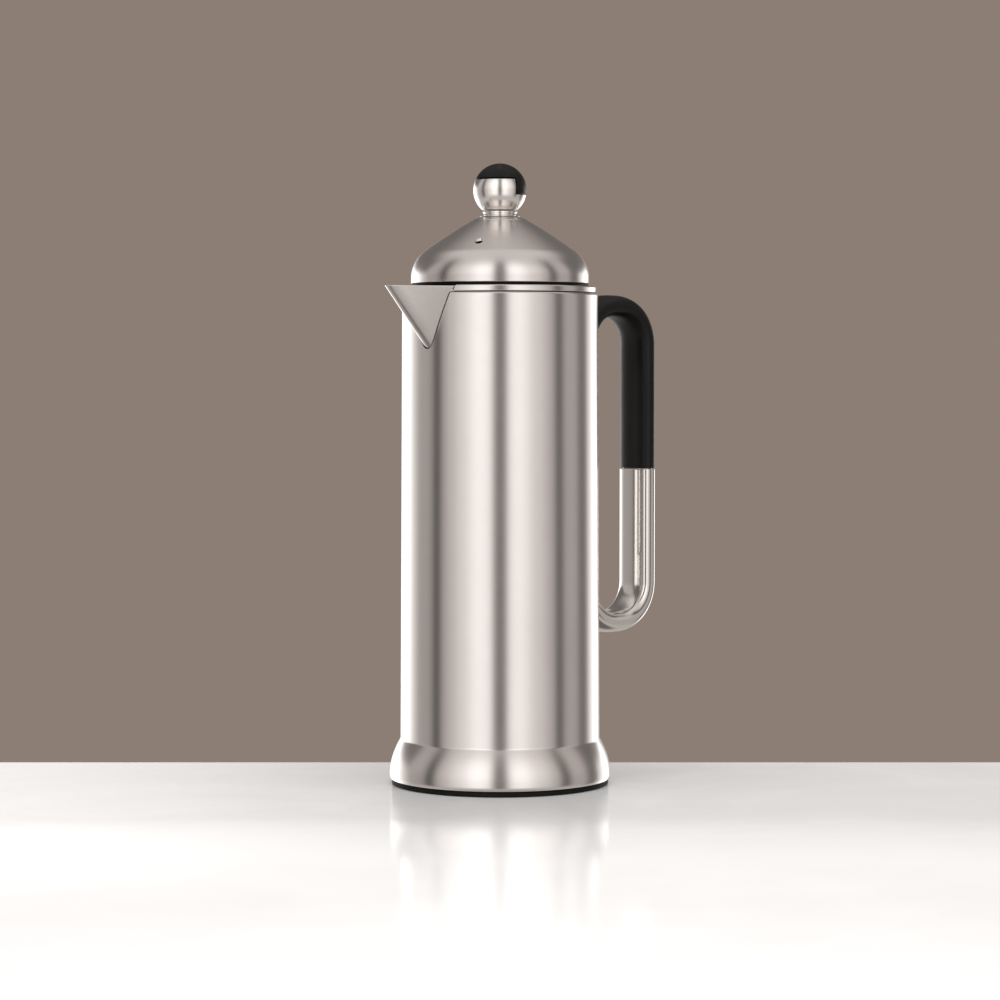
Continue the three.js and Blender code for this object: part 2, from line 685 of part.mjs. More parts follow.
const pieces = [
  ['outer_shell', outerShell, 'satinSteel'],
  ['inner_vessel', innerVessel, 'satinSteel'],
  ['spout', spoutSolid, 'satinSteel'],
  ['base_plate', basePlate, 'plainSteel'],
  ['base_pad', basePad, 'blackRubber'],
  ['handle_tube', handleTube, 'satinSteel'],
  ['tube_end_plug', tubeEndPlug, 'plainSteel'],
  ['handle_core', handleCore, 'plainSteel'],
  ['handle_grip', handleGrip, 'blackPlastic'],
  ['grip_weld_pad', gripWeldPad, 'plainSteel'],
  ['lid_seal', lidSeal, 'greyRubber'],
  ['lid_dome', lidDome, 'satinSteel'],
  ['lid_liner', lidLiner, 'blackPlastic'],
  ['neck_collar', neckCollar, 'satinSteel'],
  ['collar_nut', collarNut, 'plainSteel'],
  ['rod_guide', rodGuide, 'paleNylon'],
  ['knob_ball', knobBall, 'satinSteel'],
  ['knob_cap', knobCap, 'blackPlastic'],
  ['knob_insert', knobInsert, 'brass'],
  ['plunger_rod', plungerRod, 'plainSteel'],
  ['spiral_plate', spiralPlate, 'plainSteel'],
  ['filter_spring', filterSpring, 'plainSteel'],
  ['mesh_screen', meshScreen, 'plainSteel'],
  ['cross_plate', crossPlate, 'plainSteel'],
  ['filter_hub', filterHub, 'plainSteel'],
];

const group = new THREE.Group();
for (const [name, make, finish] of pieces) {
  const mesh = new THREE.Mesh(
    geometryOf(make()), new THREE.MeshStandardMaterial(finishes[finish]));
  mesh.name = name;
  group.add(mesh);
}

export default group;
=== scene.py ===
"""A steel french press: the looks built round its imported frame.

Metres, +Z up, in the part's own frame: spout towards -X, handle towards +X, plunger down.
"""
import math

import bmesh
import bpy
import numpy as np
from mathutils import Matrix, Vector


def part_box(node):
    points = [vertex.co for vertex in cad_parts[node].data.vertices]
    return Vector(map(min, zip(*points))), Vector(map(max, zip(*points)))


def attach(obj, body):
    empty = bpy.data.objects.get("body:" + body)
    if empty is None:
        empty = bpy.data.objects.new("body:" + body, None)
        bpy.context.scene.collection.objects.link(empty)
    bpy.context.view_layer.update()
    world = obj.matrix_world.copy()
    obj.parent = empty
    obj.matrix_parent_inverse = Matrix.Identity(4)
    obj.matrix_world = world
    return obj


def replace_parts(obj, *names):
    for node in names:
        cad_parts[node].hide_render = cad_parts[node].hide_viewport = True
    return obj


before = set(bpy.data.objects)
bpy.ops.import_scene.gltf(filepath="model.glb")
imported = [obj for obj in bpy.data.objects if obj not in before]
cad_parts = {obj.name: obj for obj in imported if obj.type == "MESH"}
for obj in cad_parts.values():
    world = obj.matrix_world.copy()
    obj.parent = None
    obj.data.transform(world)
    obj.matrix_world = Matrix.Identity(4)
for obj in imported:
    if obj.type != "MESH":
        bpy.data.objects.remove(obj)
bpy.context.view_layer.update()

MM = 0.001
MICRON = 0.000001
TURNED_SIDES = 256


# ------------------------------------------------------------------ places read off the frame
def low(node):
    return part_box(node)[0]


def high(node):
    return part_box(node)[1]


# Sizes that the frame's boxes don't give.
GAP = 0.3 * MM                    # between pieces that touch
SEAM = 0.4 * MM                   # between the shell's rolled top and the rim band
SHELL_PROUD = 0.9 * MM            # the shell's top stands this far outside the rim band
BODY_TAPER = 1.1 * MM             # and its waist this far outside its top
RIM_BAND = 4.7 * MM               # the rim band is this much wider than the bore
SHELL_CORNER = 1.2 * MM
COLLAR_BORE = 4.5 * MM
COLLAR_SHANK = 6.0 * MM
ROD_RADIUS = 2.5 * MM
ROD_HOLE = 2.8 * MM

foot_radius = high("outer_shell").y
shell_foot_z = low("outer_shell").z
shell_top_z = high("outer_shell").z
rim_radius = high("inner_vessel").y
rim_top_z = high("inner_vessel").z
rim_bottom_z = shell_top_z + SEAM
vessel_bottom_z = low("inner_vessel").z
shell_top_radius = rim_radius + SHELL_PROUD
waist_radius = shell_top_radius + BODY_TAPER
waist_z = 22.8 * MM
bore = rim_radius - RIM_BAND
wall = 1.0 * MM
floor_z = vessel_bottom_z + wall
lid_radius = high("lid_dome").y
lid_edge_z = low("lid_dome").z
lid_top_z = high("lid_dome").z
knob_top_z = high("knob_cap").z
knob_radius = 13.3 * MM
knob_z = knob_top_z - knob_radius
knob_flat_z = low("knob_ball").z
collar_top_z = high("neck_collar").z
collar_radius = high("neck_collar").y
tube_width = 2 * high("handle_tube").y
tube_thickness = 11.4 * MM
bend_radius = 19.9 * MM
bend_run = 3.9 * MM
handle_top_z = high("handle_grip").z
handle_bottom_z = low("handle_tube").z
grip_end_z = low("handle_grip").z
grip_radius = high("handle_grip").x - tube_thickness / 2
leg_radius = grip_radius - 2 * bend_radius - bend_run
leg_length = 12.0 * MM


# ------------------------------------------------------------------ mesh helpers
def new_mesh(name, vertices, faces):
    mesh = bpy.data.meshes.new(name)
    mesh.from_pydata([tuple(v) for v in vertices], [], faces)
    mesh.validate()
    mesh.update()
    piece = bpy.data.objects.new(name, mesh)
    bpy.context.scene.collection.objects.link(piece)
    return piece


def filleted(corners, steps=4):
    """A profile whose corners are (radius, height, fillet radius), with each fillet as an arc."""
    points = []
    for i, corner in enumerate(corners):
        here = Vector(corner[:2])
        fillet = corner[2] if len(corner) > 2 else 0
        if not fillet or i in (0, len(corners) - 1):
            points.append(here)
            continue
        before = (Vector(corners[i - 1][:2]) - here).normalized()
        after = (Vector(corners[i + 1][:2]) - here).normalized()
        half = before.angle(after) / 2
        reach = fillet / math.tan(half)
        centre = here + (before + after).normalized() * (fillet / math.sin(half))
        start = here + before * reach - centre
        end = here + after * reach - centre
        sweep = start.angle(end)
        for k in range(steps + 1):
            t = k / steps
            blend = (start * math.sin((1 - t) * sweep) + end * math.sin(t * sweep)) / math.sin(sweep)
            points.append(centre + blend)
    return points


def bezier(p0, p1, p2, p3, steps):
    """A smooth curve from p0 to p3 that sets out towards p1 and arrives from p2."""
    points = []
    for k in range(steps + 1):
        t = k / steps
        u = 1 - t
        points.append(u ** 3 * Vector(p0) + 3 * u * u * t * Vector(p1)
                      + 3 * u * t * t * Vector(p2) + t ** 3 * Vector(p3))
    return points


def offset_line(points, distance):
    """The open line moved sideways, to the left of its direction."""
    moved = []
    for i, here in enumerate(points):
        before = points[max(i - 1, 0)]
        after = points[min(i + 1, len(points) - 1)]
        d_in = (here - before).normalized() if i else (after - here).normalized()
        d_out = (after - here).normalized() if i < len(points) - 1 else d_in
        normal = Vector((-d_in.y - d_out.y, d_in.x + d_out.x)).normalized()
        stretch = max(normal.dot(Vector((-d_out.y, d_out.x))), 0.3)
        moved.append(here + normal * (distance / stretch))
    return moved


def profile_normals(points, closed):
    """Outward normals of a profile whose material lies to its left, the longer side weighing more."""
    count = len(points)
    normals = []
    for i in range(count):
        total = Vector((0.0, 0.0))
        for a, b in ((i - 1, i), (i, i + 1)):
            if not closed and (a < 0 or b >= count):
                continue
            d = points[b % count] - points[a % count]
            total += Vector((d.y, -d.x)) * d.length
        normals.append(total.normalized() if total.length else Vector((1, 0)))
    return normals


def turn_mesh(name, points, sides):
    """Turns a counter-clockwise profile about Z: closed on itself, or from the axis to the axis."""
    on_axis = [abs(p.x) < 1e-7 for p in points]
    closed = not (on_axis[0] and on_axis[-1])
    vertices, rows = [], []
    for p, axis in zip(points, on_axis):
        if axis:
            rows.append([len(vertices)] * sides)
            vertices.append((0, 0, p.y))
            continue
        rows.append(list(range(len(vertices), len(vertices) + sides)))
        for k in range(sides):
            angle = 2 * math.pi * (k + 0.5) / sides
            vertices.append((p.x * math.cos(angle), p.x * math.sin(angle), p.y))
    faces = []
    pairs = list(zip(rows, rows[1:])) + ([(rows[-1], rows[0])] if closed else [])
    for lower, upper in pairs:
        for k in range(sides):
            n = (k + 1) % sides
            quad = [lower[k], lower[n], upper[n], upper[k]]
            face = [v for j, v in enumerate(quad) if v != quad[j - 1]]
            if len(face) > 2:
                faces.append(face)
    return new_mesh(name, vertices, faces), closed


def cut(piece, cutter, operation="DIFFERENCE"):
    step = piece.modifiers.new("cut", "BOOLEAN")
    step.operation = operation
    step.object = cutter
    step.solver = "EXACT"
    apply_modifiers(piece)
    mesh = cutter.data
    bpy.data.objects.remove(cutter)
    bpy.data.meshes.remove(mesh)


def apply_modifiers(piece):
    """Turns what the modifiers show into the piece's own mesh."""
    depsgraph = bpy.context.evaluated_depsgraph_get()
    mesh = bpy.data.meshes.new_from_object(piece.evaluated_get(depsgraph))
    old = piece.data
    piece.modifiers.clear()
    piece.data = mesh
    bpy.data.meshes.remove(old)


def smooth_turned(piece, points, closed, keep_within):
    """Gives a turned piece the exact normals of its profile, and leaves cut faces flat.

    A face counts as cut if it leans from the profile by more than keep_within degrees.
    """
    profile = np.array([tuple(p) for p in points])
    normals = np.array([tuple(n) for n in profile_normals(points, closed)])
    if closed:
        profile = np.vstack([profile, profile[:1]])
        normals = np.vstack([normals, normals[:1]])
    mesh = piece.data
    co = np.array([tuple(v.co) for v in mesh.vertices])
    radius = np.hypot(co[:, 0], co[:, 1])
    at = np.stack([radius, co[:, 2]], 1)
    start, run = profile[:-1], profile[1:] - profile[:-1]
    length = np.maximum((run ** 2).sum(1), 1e-16)
    best = np.full(len(at), 1e9)
    flat = np.zeros((len(at), 2))
    for s, r, ll, na, nb in zip(start, run, length, normals[:-1], normals[1:]):
        t = np.clip(((at - s) @ r) / ll, 0, 1)
        distance = ((at - s - t[:, None] * r) ** 2).sum(1)
        nearer = distance < best
        best[nearer] = distance[nearer]
        mixed = na * (1 - t[nearer, None]) + nb * t[nearer, None]
        flat[nearer] = mixed / np.maximum(np.linalg.norm(mixed, axis=1, keepdims=True), 1e-9)
    safe = np.maximum(radius, 1e-9)
    around = co[:, :2] / safe[:, None]
    wanted = np.column_stack([around * flat[:, :1], flat[:, 1]])
    wanted[radius < 1e-6, :2] = 0
    wanted /= np.maximum(np.linalg.norm(wanted, axis=1, keepdims=True), 1e-9)
    corner_vertex = np.empty(len(mesh.loops), np.int32)
    mesh.loops.foreach_get("vertex_index", corner_vertex)
    face_size = np.empty(len(mesh.polygons), np.int32)
    mesh.polygons.foreach_get("loop_total", face_size)
    face_normal = np.empty(len(mesh.polygons) * 3)
    mesh.polygons.foreach_get("normal", face_normal)
    own = wanted[corner_vertex]
    face = np.repeat(face_normal.reshape(-1, 3), face_size, axis=0)
    near = (own * face).sum(1) > math.cos(math.radians(keep_within))
    mesh.polygons.foreach_set("use_smooth", np.ones(len(mesh.polygons), bool))
    mesh.normals_split_custom_set(np.where(near[:, None], own, face))


def turned(name, points, sides=TURNED_SIDES, cutters=()):
    piece, closed = turn_mesh(name, points, sides)
    for cutter in cutters:
        cut(piece, cutter)
    smooth_turned(piece, points, closed, 40)
    return piece


def smooth_by_angle(piece, degrees):
    piece.data.shade_smooth()
    mesh = bmesh.new()
    mesh.from_mesh(piece.data)
    for edge in mesh.edges:
        edge.smooth = len(edge.link_faces) == 2 and edge.calc_face_angle(0) < math.radians(degrees)
    mesh.to_mesh(piece.data)
    mesh.free()


def cylinder_cutter(radius, from_z, to_z, x=0, y=0, sides=64):
    points = [Vector((0, from_z)), Vector((radius, from_z)), Vector((radius, to_z)), Vector((0, to_z))]
    piece, _ = turn_mesh("cutter", points, sides)
    piece.data.transform(Matrix.Translation((x, y, 0)))
    return piece


def rotated_z(points, angle):
    turn = Matrix.Rotation(angle, 3, "Z")
    return [turn @ Vector(p) for p in points]


def stacked(name, layers):
    """A solid from outlines of equal length lying one above another, lowest first."""
    count = len(layers[0])
    faces = [list(range(count))[::-1], [count * (len(layers) - 1) + k for k in range(count)]]
    for i in range(len(layers) - 1):
        for k in range(count):
            n = (k + 1) % count
            faces.append([i * count + k, i * count + n, (i + 1) * count + n, (i + 1) * count + k])
    return new_mesh(name, [v for layer in layers for v in layer], faces)


def block_cutter(low_corner, high_corner, angle=0):
    (x0, y0, z0), (x1, y1, z1) = low_corner, high_corner
    corners = [(x0, y0), (x1, y0), (x1, y1), (x0, y1)]
    return stacked("cutter", [rotated_z([(x, y, z) for x, y in corners], angle) for z in (z0, z1)])


def bevelled(piece, width, degrees=40):
    step = piece.modifiers.new("bevel", "BEVEL")
    step.width = width
    step.segments = 3
    step.limit_method = "ANGLE"
    step.angle_limit = math.radians(degrees)
    step.use_clamp_overlap = True
    apply_modifiers(piece)


def round_corner(centre_r, centre_z, radius, from_degrees, to_degrees, steps):
    """An arc in a profile, with angles from straight out (0) to straight up (90)."""
    angles = np.radians(np.linspace(from_degrees, to_degrees, steps + 1))
    return [Vector((centre_r + radius * math.cos(a), centre_z + radius * math.sin(a)))
            for a in angles]


# ------------------------------------------------------------------ vessel
SPOUT_TIP = shell_top_radius + 26.7 * MM
SPOUT_TOP_Z = rim_top_z - 0.5 * MM
SPOUT_DEPTH = 29.8 * MM
SPOUT_HALF_ANGLE = math.radians(22.8)
SPOUT_EASE = math.radians(12)
SPOUT_EASE_RADIUS = 26.0 * MM
SPOUT_FOLD = 3.0 * MM
SPOUT_SHEET = 1.0 * MM
SPOUT_EDGE = 0.35 * MM
SPOUT_JOINT = 0.7 * MM            # the dark line where the spout meets the walls
SPOUT_BACK = 0.6                  # how far its sides run on into the vessel, against the bore
CREASE = 0.6 * MM                 # half the width of the rounded crease above the foot
FOOT_UPRIGHT = 1.6 * MM           # the foot's edge is upright up to here
FOOT_FULLNESS = 7.1 * MM          # and its curve heads straight up as far as this
FLARE = Vector((4.1, -7.3)) * MM  # the curve reaches the waist from this side
FOOT_ROLL = Vector((0.5, 0.8)) * MM


def shell_radius_at(z):
    share = (z - waist_z) / (shell_top_z - SHELL_CORNER - waist_z)
    return waist_radius + (shell_top_radius - waist_radius) * share


KEEL_SLOPE = (SPOUT_TIP - shell_radius_at(SPOUT_TOP_Z - SPOUT_DEPTH)) / SPOUT_DEPTH


def shell_outline():
    waist = Vector((waist_radius, waist_z))
    foot = bezier(
        (foot_radius, shell_foot_z + FOOT_UPRIGHT), (foot_radius, shell_foot_z + FOOT_FULLNESS),
        waist + FLARE, waist, 26)
    into_crease = waist + (foot[-2] - waist).normalized() * CREASE
    out_of_crease = Vector((shell_radius_at(waist_z + CREASE), waist_z + CREASE))
    creased = bezier(into_crease, into_crease.lerp(waist, 2 / 3),
                     out_of_crease.lerp(waist, 2 / 3), out_of_crease, 5)
    return [
        Vector((foot_radius - FOOT_ROLL.x, shell_foot_z)),
        Vector((foot_radius - FOOT_ROLL.x * 0.34, shell_foot_z + FOOT_ROLL.y)),
        *[p for p in foot if p.y < into_crease.y - 0.1 * MM], *creased,
        *round_corner(shell_top_radius - SHELL_CORNER, shell_top_z - SHELL_CORNER,
                      SHELL_CORNER, 0, 90, 8),
        Vector((bore + wall + GAP, shell_top_z)),
    ]


def spout_line(outward):
    """The spout's V in plan, from one open end round the fold to the other.

    The sheet is folded tight at the keel, eases off over a longer curve, and then runs straight.
    """
    x, y = -SPOUT_TIP - outward, 0.0
    heading = math.pi / 2
    side = [(x, y)]
    for radius, end_heading, steps in (
            (SPOUT_FOLD + outward, SPOUT_HALF_ANGLE + SPOUT_EASE, 10),
            (SPOUT_EASE_RADIUS + outward, SPOUT_HALF_ANGLE, 6)):
        turn = (end_heading - heading) / steps
        for _ in range(steps):
            heading += turn / 2
            chord = 2 * radius * math.sin(-turn / 2)
            x += chord * math.cos(heading)
            y += chord * math.sin(heading)
            heading += turn / 2
            side.append((x, y))
    back_x = -SPOUT_BACK * bore
    side.append((back_x, y + (back_x - x) * math.tan(heading)))
    return side[::-1] + [(x, -y) for x, y in side[1:]]


def spout_layer(outline, z):
    return [(x + (SPOUT_TOP_Z - z) * KEEL_SLOPE, y, z) for x, y in outline]


def spout_low_z():
    return SPOUT_TOP_Z - (SPOUT_TIP - bore) / KEEL_SLOPE - 2 * MM


def spout_notch():
    outline = spout_line(SPOUT_JOINT)
    return stacked("cutter", [spout_layer(outline, z) for z in (spout_low_z(), rim_top_z + 2 * MM)])


def shell_sheet():
    outside = shell_outline()
    points = outside + offset_line(outside, wall)[::-1]
    return turned("shell_sheet", points, cutters=[spout_notch()])


def inner_vessel_spinning():
    edge = 0.5 * MM
    outside = bore + wall
    corner = 4.0 * MM
    points = filleted([
        (0, vessel_bottom_z), (outside, vessel_bottom_z, corner), (outside, rim_bottom_z),
        (rim_radius, rim_bottom_z, edge * 0.8), (rim_radius, rim_top_z, edge * 1.4),
        (bore, rim_top_z, edge), (bore, floor_z, corner - wall), (0, floor_z)], steps=6)
    return turned("inner_vessel_spinning", points, cutters=[spout_notch()])


def rim_gasket():
    """The black ring squeezed between the shell's rolled top and the vessel's rim band."""
    inner, outer = bore + wall + 0.1 * MM, rim_radius - 0.4 * MM
    bottom, top = shell_top_z + 0.02 * MM, rim_bottom_z - 0.02 * MM
    points = filleted([(inner, bottom), (outer, bottom, 0.1 * MM), (outer, top, 0.1 * MM),
                       (inner, top)], steps=3)
    return turned("rim_gasket", points, cutters=[spout_notch()])


def folded_spout():
    def band(edge):
        return [*spout_line(-edge), *reversed(spout_line(edge - SPOUT_SHEET))]
    layers = [spout_layer(band(0), spout_low_z())]
    for k in range(5):
        angle = math.pi / 2 * k / 4
        layers.append(spout_layer(band(SPOUT_EDGE * (1 - math.cos(angle))),
                                  SPOUT_TOP_Z - SPOUT_EDGE * (1 - math.sin(angle))))
    piece = stacked("folded_spout", layers)
    cut(piece, cylinder_cutter(bore + 0.1 * MM, 0, lid_top_z, sides=TURNED_SIDES))
    smooth_by_angle(piece, 24)
    return piece


def foot_pad():
    radius = high("base_pad").y
    top = high("base_pad").z
    groove = 0.5 * MM
    points = filleted([
        (0, 0), (radius - 6 * MM, 0, groove), (radius - 5.4 * MM, 0.6 * MM, groove / 2),
        (radius - 4.4 * MM, 0.6 * MM, groove / 2), (radius - 3.8 * MM, 0, groove),
        (radius, 0, 0.7 * MM), (radius, top, 0.5 * MM), (0, top)], steps=5)
    return turned("foot_pad", points)


# ------------------------------------------------------------------ handle
TUBE_WALL = 1.2 * MM
TUBE_EDGE = 0.4 * MM
SECTION_POINTS = 72
TUBE_FULLNESS = 2.6
GRIP_FULLNESS = 2.3
BEND_TOP_Z = handle_top_z - tube_thickness / 2 - bend_radius
BEND_BOTTOM_Z = handle_bottom_z + tube_thickness / 2 + bend_radius


def crowned(value, fullness):
    """Pushes a circle out towards a rounded oblong with gently crowned flats."""
    return math.copysign(abs(value) ** (2 / fullness), value)


class BentLine:
    """A line in the XZ plane of straight runs and round bends, read at any distance along it."""

    def __init__(self, x, z, heading, parts, fullness=TUBE_FULLNESS):
        self.fullness = fullness
        self.parts = []
        self.length = 0
        for length, turn in parts:
            self.parts.append((self.length, length, turn, x, z, heading))
            x, z, heading = self.step(x, z, heading, length, turn, length)
            self.length += length

    @staticmethod
    def step(x, z, heading, length, turn, distance):
        if not turn:
            return x + distance * math.cos(heading), z + distance * math.sin(heading), heading
        radius = length / turn
        after = heading + turn * distance / length
        return (x + radius * (math.sin(after) - math.sin(heading)),
                z - radius * (math.cos(after) - math.cos(heading)), after)

    def at(self, distance):
        for start, length, turn, x, z, heading in self.parts:
            if distance <= start + length or start + length >= self.length:
                return self.step(x, z, heading, length, turn, distance - start)

    def ring(self, distance, inset):
        """The flattened tube's rounded section at that distance, moved in by an inset."""
        x, z, heading = self.at(distance)
        fullness = TUBE_FULLNESS if inset == TUBE_WALL else self.fullness
        ring = []
        for a in np.linspace(-math.pi, math.pi, SECTION_POINTS, endpoint=False):
            across = (tube_width / 2 - inset) * crowned(math.cos(a), fullness)
            through = (tube_thickness / 2 - inset) * crowned(math.sin(a), fullness)
            ring.append((x - through * math.sin(heading), across,
                         z + through * math.cos(heading)))
        return ring

    def skin(self, inset, start, end, pace=1.5 * MM):
        steps = max(2, round((end - start) / pace))
        return [self.ring(s, inset) for s in np.linspace(start, end, steps + 1)]

    def edge(self, at_start, steps=4):
        """Rings that round off the outer edge at one end of the line."""
        rings = []
        for k in range(steps + 1):
            a = math.pi / 2 * k / steps
            distance = TUBE_EDGE * (1 - math.cos(a))
            inset = TUBE_EDGE * (1 - math.sin(a))
            rings.append(self.ring(distance if at_start else self.length - distance, inset))
        return rings if at_start else rings[::-1]


def lofted(name, rings, closed):
    count = len(rings[0])
    faces = []
    last = len(rings) if closed else len(rings) - 1
    for i in range(last):
        j = (i + 1) % len(rings)
        for k in range(count):
            n = (k + 1) % count
            faces.append([i * count + k, i * count + n, j * count + n, j * count + k])
    if not closed:
        faces.append(list(range(count))[::-1])
        faces.append([count * (len(rings) - 1) + k for k in range(count)])
    return new_mesh(name, [seated(p) for ring in rings for p in ring], faces)


def seated(p):
    """Keeps a point of the handle off the shell that its legs lie against."""
    x, y, z = p
    clear = shell_radius_at(z) + GAP
    radius = math.hypot(x, y)
    return (x * clear / radius, y * clear / radius, z) if radius < clear else p


QUARTER = (bend_radius * math.pi / 2, math.pi / 2)


def bare_tube():
    end_z = grip_end_z - GAP
    line = BentLine(leg_radius, BEND_BOTTOM_Z + leg_length, -math.pi / 2, [
        (leg_length, 0), QUARTER, (bend_run, 0), QUARTER, (end_z - BEND_BOTTOM_Z, 0)])
    rings = [*line.edge(True), *line.skin(0, 2 * TUBE_EDGE, line.length - 2 * TUBE_EDGE),
             *line.edge(False), *line.skin(TUBE_WALL, 0, line.length)[::-1]]
    piece = lofted("bare_tube", rings, closed=True)
    smooth_by_angle(piece, 35)
    return piece


def grip_sleeve():
    line = BentLine(grip_radius, grip_end_z, math.pi / 2, [
        (BEND_TOP_Z - grip_end_z, 0), QUARTER, (bend_run, 0), QUARTER, (leg_length, 0)],
        GRIP_FULLNESS)
    end_wall = 1.5 * MM
    rings = [*line.skin(TUBE_WALL, 0, line.length - end_wall)[::-1], *line.edge(True),
             *line.skin(0, 2 * TUBE_EDGE, line.length - 2 * TUBE_EDGE), *line.edge(False)]
    piece = lofted("grip_sleeve", rings, closed=False)
    pad_low, pad_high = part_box("grip_weld_pad")
    cut(piece, block_cutter(
        (bore, pad_low.y - GAP, pad_low.z - GAP), (leg_radius, pad_high.y + GAP, pad_high.z + GAP)))
    smooth_by_angle(piece, 35)
    return piece


# ------------------------------------------------------------------ lid
DOME_SIDE = 3.1 * MM              # the dome's side is upright up to here
DOME_FULLNESS = 5.6 * MM          # and its shoulder heads straight up for this much more
SHOULDER_EASE = 4.2 * MM
CONE_FOOT = Vector((7.05, 16.4)) * MM       # in from the side and up from the edge
CONE_TOP = Vector((2.8, 32.1)) * MM         # out from the collar and up from the edge
CONE_BULGE = 0.8 * MM
COLLAR_SEAT = 0.6 * MM            # the flat under the collar is this much wider
NECK_LINE = 0.958                 # the fine raised line lies this far up the cone
NECK_LINE_HEIGHT = 0.16 * MM
VENT_ANGLE = math.radians(208)
VENT_RADIUS = 2.0 * MM
VENT_IN = 12.35 * MM              # in from the dome's side
VENT_REACH = 20 * MM


def dome_outline():
    side = Vector((lid_radius, lid_edge_z + DOME_SIDE))
    cone_foot = Vector((lid_radius - CONE_FOOT.x, lid_edge_z + CONE_FOOT.y))
    cone_top = Vector((collar_radius + CONE_TOP.x, lid_edge_z + CONE_TOP.y))
    slope = (cone_top - cone_foot).normalized()
    outward = Vector((slope.y, -slope.x))
    shoulder = bezier(side, side + Vector((0, DOME_FULLNESS)), cone_foot - slope * SHOULDER_EASE,
                      cone_foot, 24)
    cone = [cone_foot.lerp(cone_top, t) + outward * CONE_BULGE * 2 * t * (1 - t)
            for t in np.linspace(0, 1, 13)[1:-1]]
    neck_line = [
        cone_foot.lerp(cone_top, NECK_LINE) + slope * along * MM + outward * NECK_LINE_HEIGHT * up
        for along, up in ((0, 0), (0.12, 0.7), (0.35, 1), (0.6, 0.7), (0.8, 0))]
    return [Vector((lid_radius, lid_edge_z)), *shoulder, *cone, *neck_line, cone_top,
            Vector((collar_radius + COLLAR_SEAT, lid_top_z)),
            Vector((COLLAR_SHANK + GAP, lid_top_z))]


def vent_cutter():
    from_axis = lid_radius - VENT_IN
    return cylinder_cutter(VENT_RADIUS, lid_edge_z - VENT_REACH, lid_top_z,
                           from_axis * math.cos(VENT_ANGLE), from_axis * math.sin(VENT_ANGLE))


def lid_spinning():
    roll = 0.4 * MM
    outside = dome_outline()
    inside = offset_line(outside, wall)[::-1]
    edge = round_corner(lid_radius - roll, lid_edge_z + roll, roll, -90, 0, 4)
    return turned("lid_spinning", [*edge, *outside[1:], *inside], cutters=[vent_cutter()])


# ------------------------------------------------------------------ liner, seal, collar and guide
LINER_WALL = 1.4 * MM
LINER_FLANGE = 0.9 * MM
LINER_FLOOR = 1.5 * MM
LINER_ROD_HOLE = 3.1 * MM
RIB_HEIGHT = 1.1 * MM
RIB_GAP = 0.6 * MM
SLOTS = 9
SLOT_STEP = math.radians(6.5)
SLOT_HALF_WIDTH = 1.2 * MM
SLOT_BOTTOM, SLOT_TOP = 2.4 * MM, 11 * MM
SEAL_BODY = 1.4 * MM


def liner_moulding():
    liner_low, liner_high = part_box("lid_liner")
    flange_radius = liner_high.y
    flange_z = rim_top_z + GAP
    flange_top = flange_z + LINER_FLANGE
    skirt_radius = seal_inner_radius() - GAP
    skirt_inside = skirt_radius - LINER_WALL
    rib_top = low("lid_seal").z - GAP
    rib_bottom = rib_top - RIB_HEIGHT
    rib_radius = bore - RIB_GAP
    web_top = flange_z + LINER_FLOOR
    upstand = lid_radius - wall - GAP
    upstand_inside = upstand - LINER_WALL
    edge = 0.3 * MM
    points = filleted([
        (skirt_inside, liner_low.z, edge), (skirt_radius, liner_low.z, edge),
        (skirt_radius, rib_bottom, edge), (rib_radius, rib_bottom, edge),
        (rib_radius, rib_top, edge), (skirt_radius, rib_top), (skirt_radius, flange_z),
        (flange_radius, flange_z, edge), (flange_radius, flange_top, edge),
        (upstand, flange_top), (upstand, liner_high.z, edge),
        (upstand_inside, liner_high.z, edge), (upstand_inside, web_top, edge * 2),
        (LINER_ROD_HOLE, web_top, edge), (LINER_ROD_HOLE, flange_z, edge),
        (skirt_inside, flange_z, edge * 3)], steps=3)
    cutters = [vent_cutter()]
    for i in range(SLOTS):
        angle = math.pi + (i - (SLOTS - 1) / 2) * SLOT_STEP
        cutters.append(block_cutter(
            (skirt_inside - 2 * MM, -SLOT_HALF_WIDTH, liner_low.z + SLOT_BOTTOM),
            (skirt_radius + 2 * MM, SLOT_HALF_WIDTH, liner_low.z + SLOT_TOP), angle))
    return turned("liner_moulding", points, cutters=cutters)


def seal_inner_radius():
    return high("lid_seal").y - SEAL_BODY


def seal_lips():
    bottom, top = low("lid_seal").z, high("lid_seal").z
    inner, outer = seal_inner_radius(), high("lid_seal").y
    lip = (top - bottom) / 5
    body = outer - 0.45 * MM
    edge, soft = 0.15 * MM, 0.2 * MM
    points = filleted([
        (inner, bottom, edge), (body, bottom, edge), (body, bottom + lip * 0.4, 0.1 * MM),
        (outer, bottom + lip, soft), (body, bottom + lip * 2.1, soft),
        (body, bottom + lip * 2.6, soft), (outer, top - lip, soft),
        (body, top, edge), (inner, top, edge)], steps=3)
    return turned("seal_lips", points)


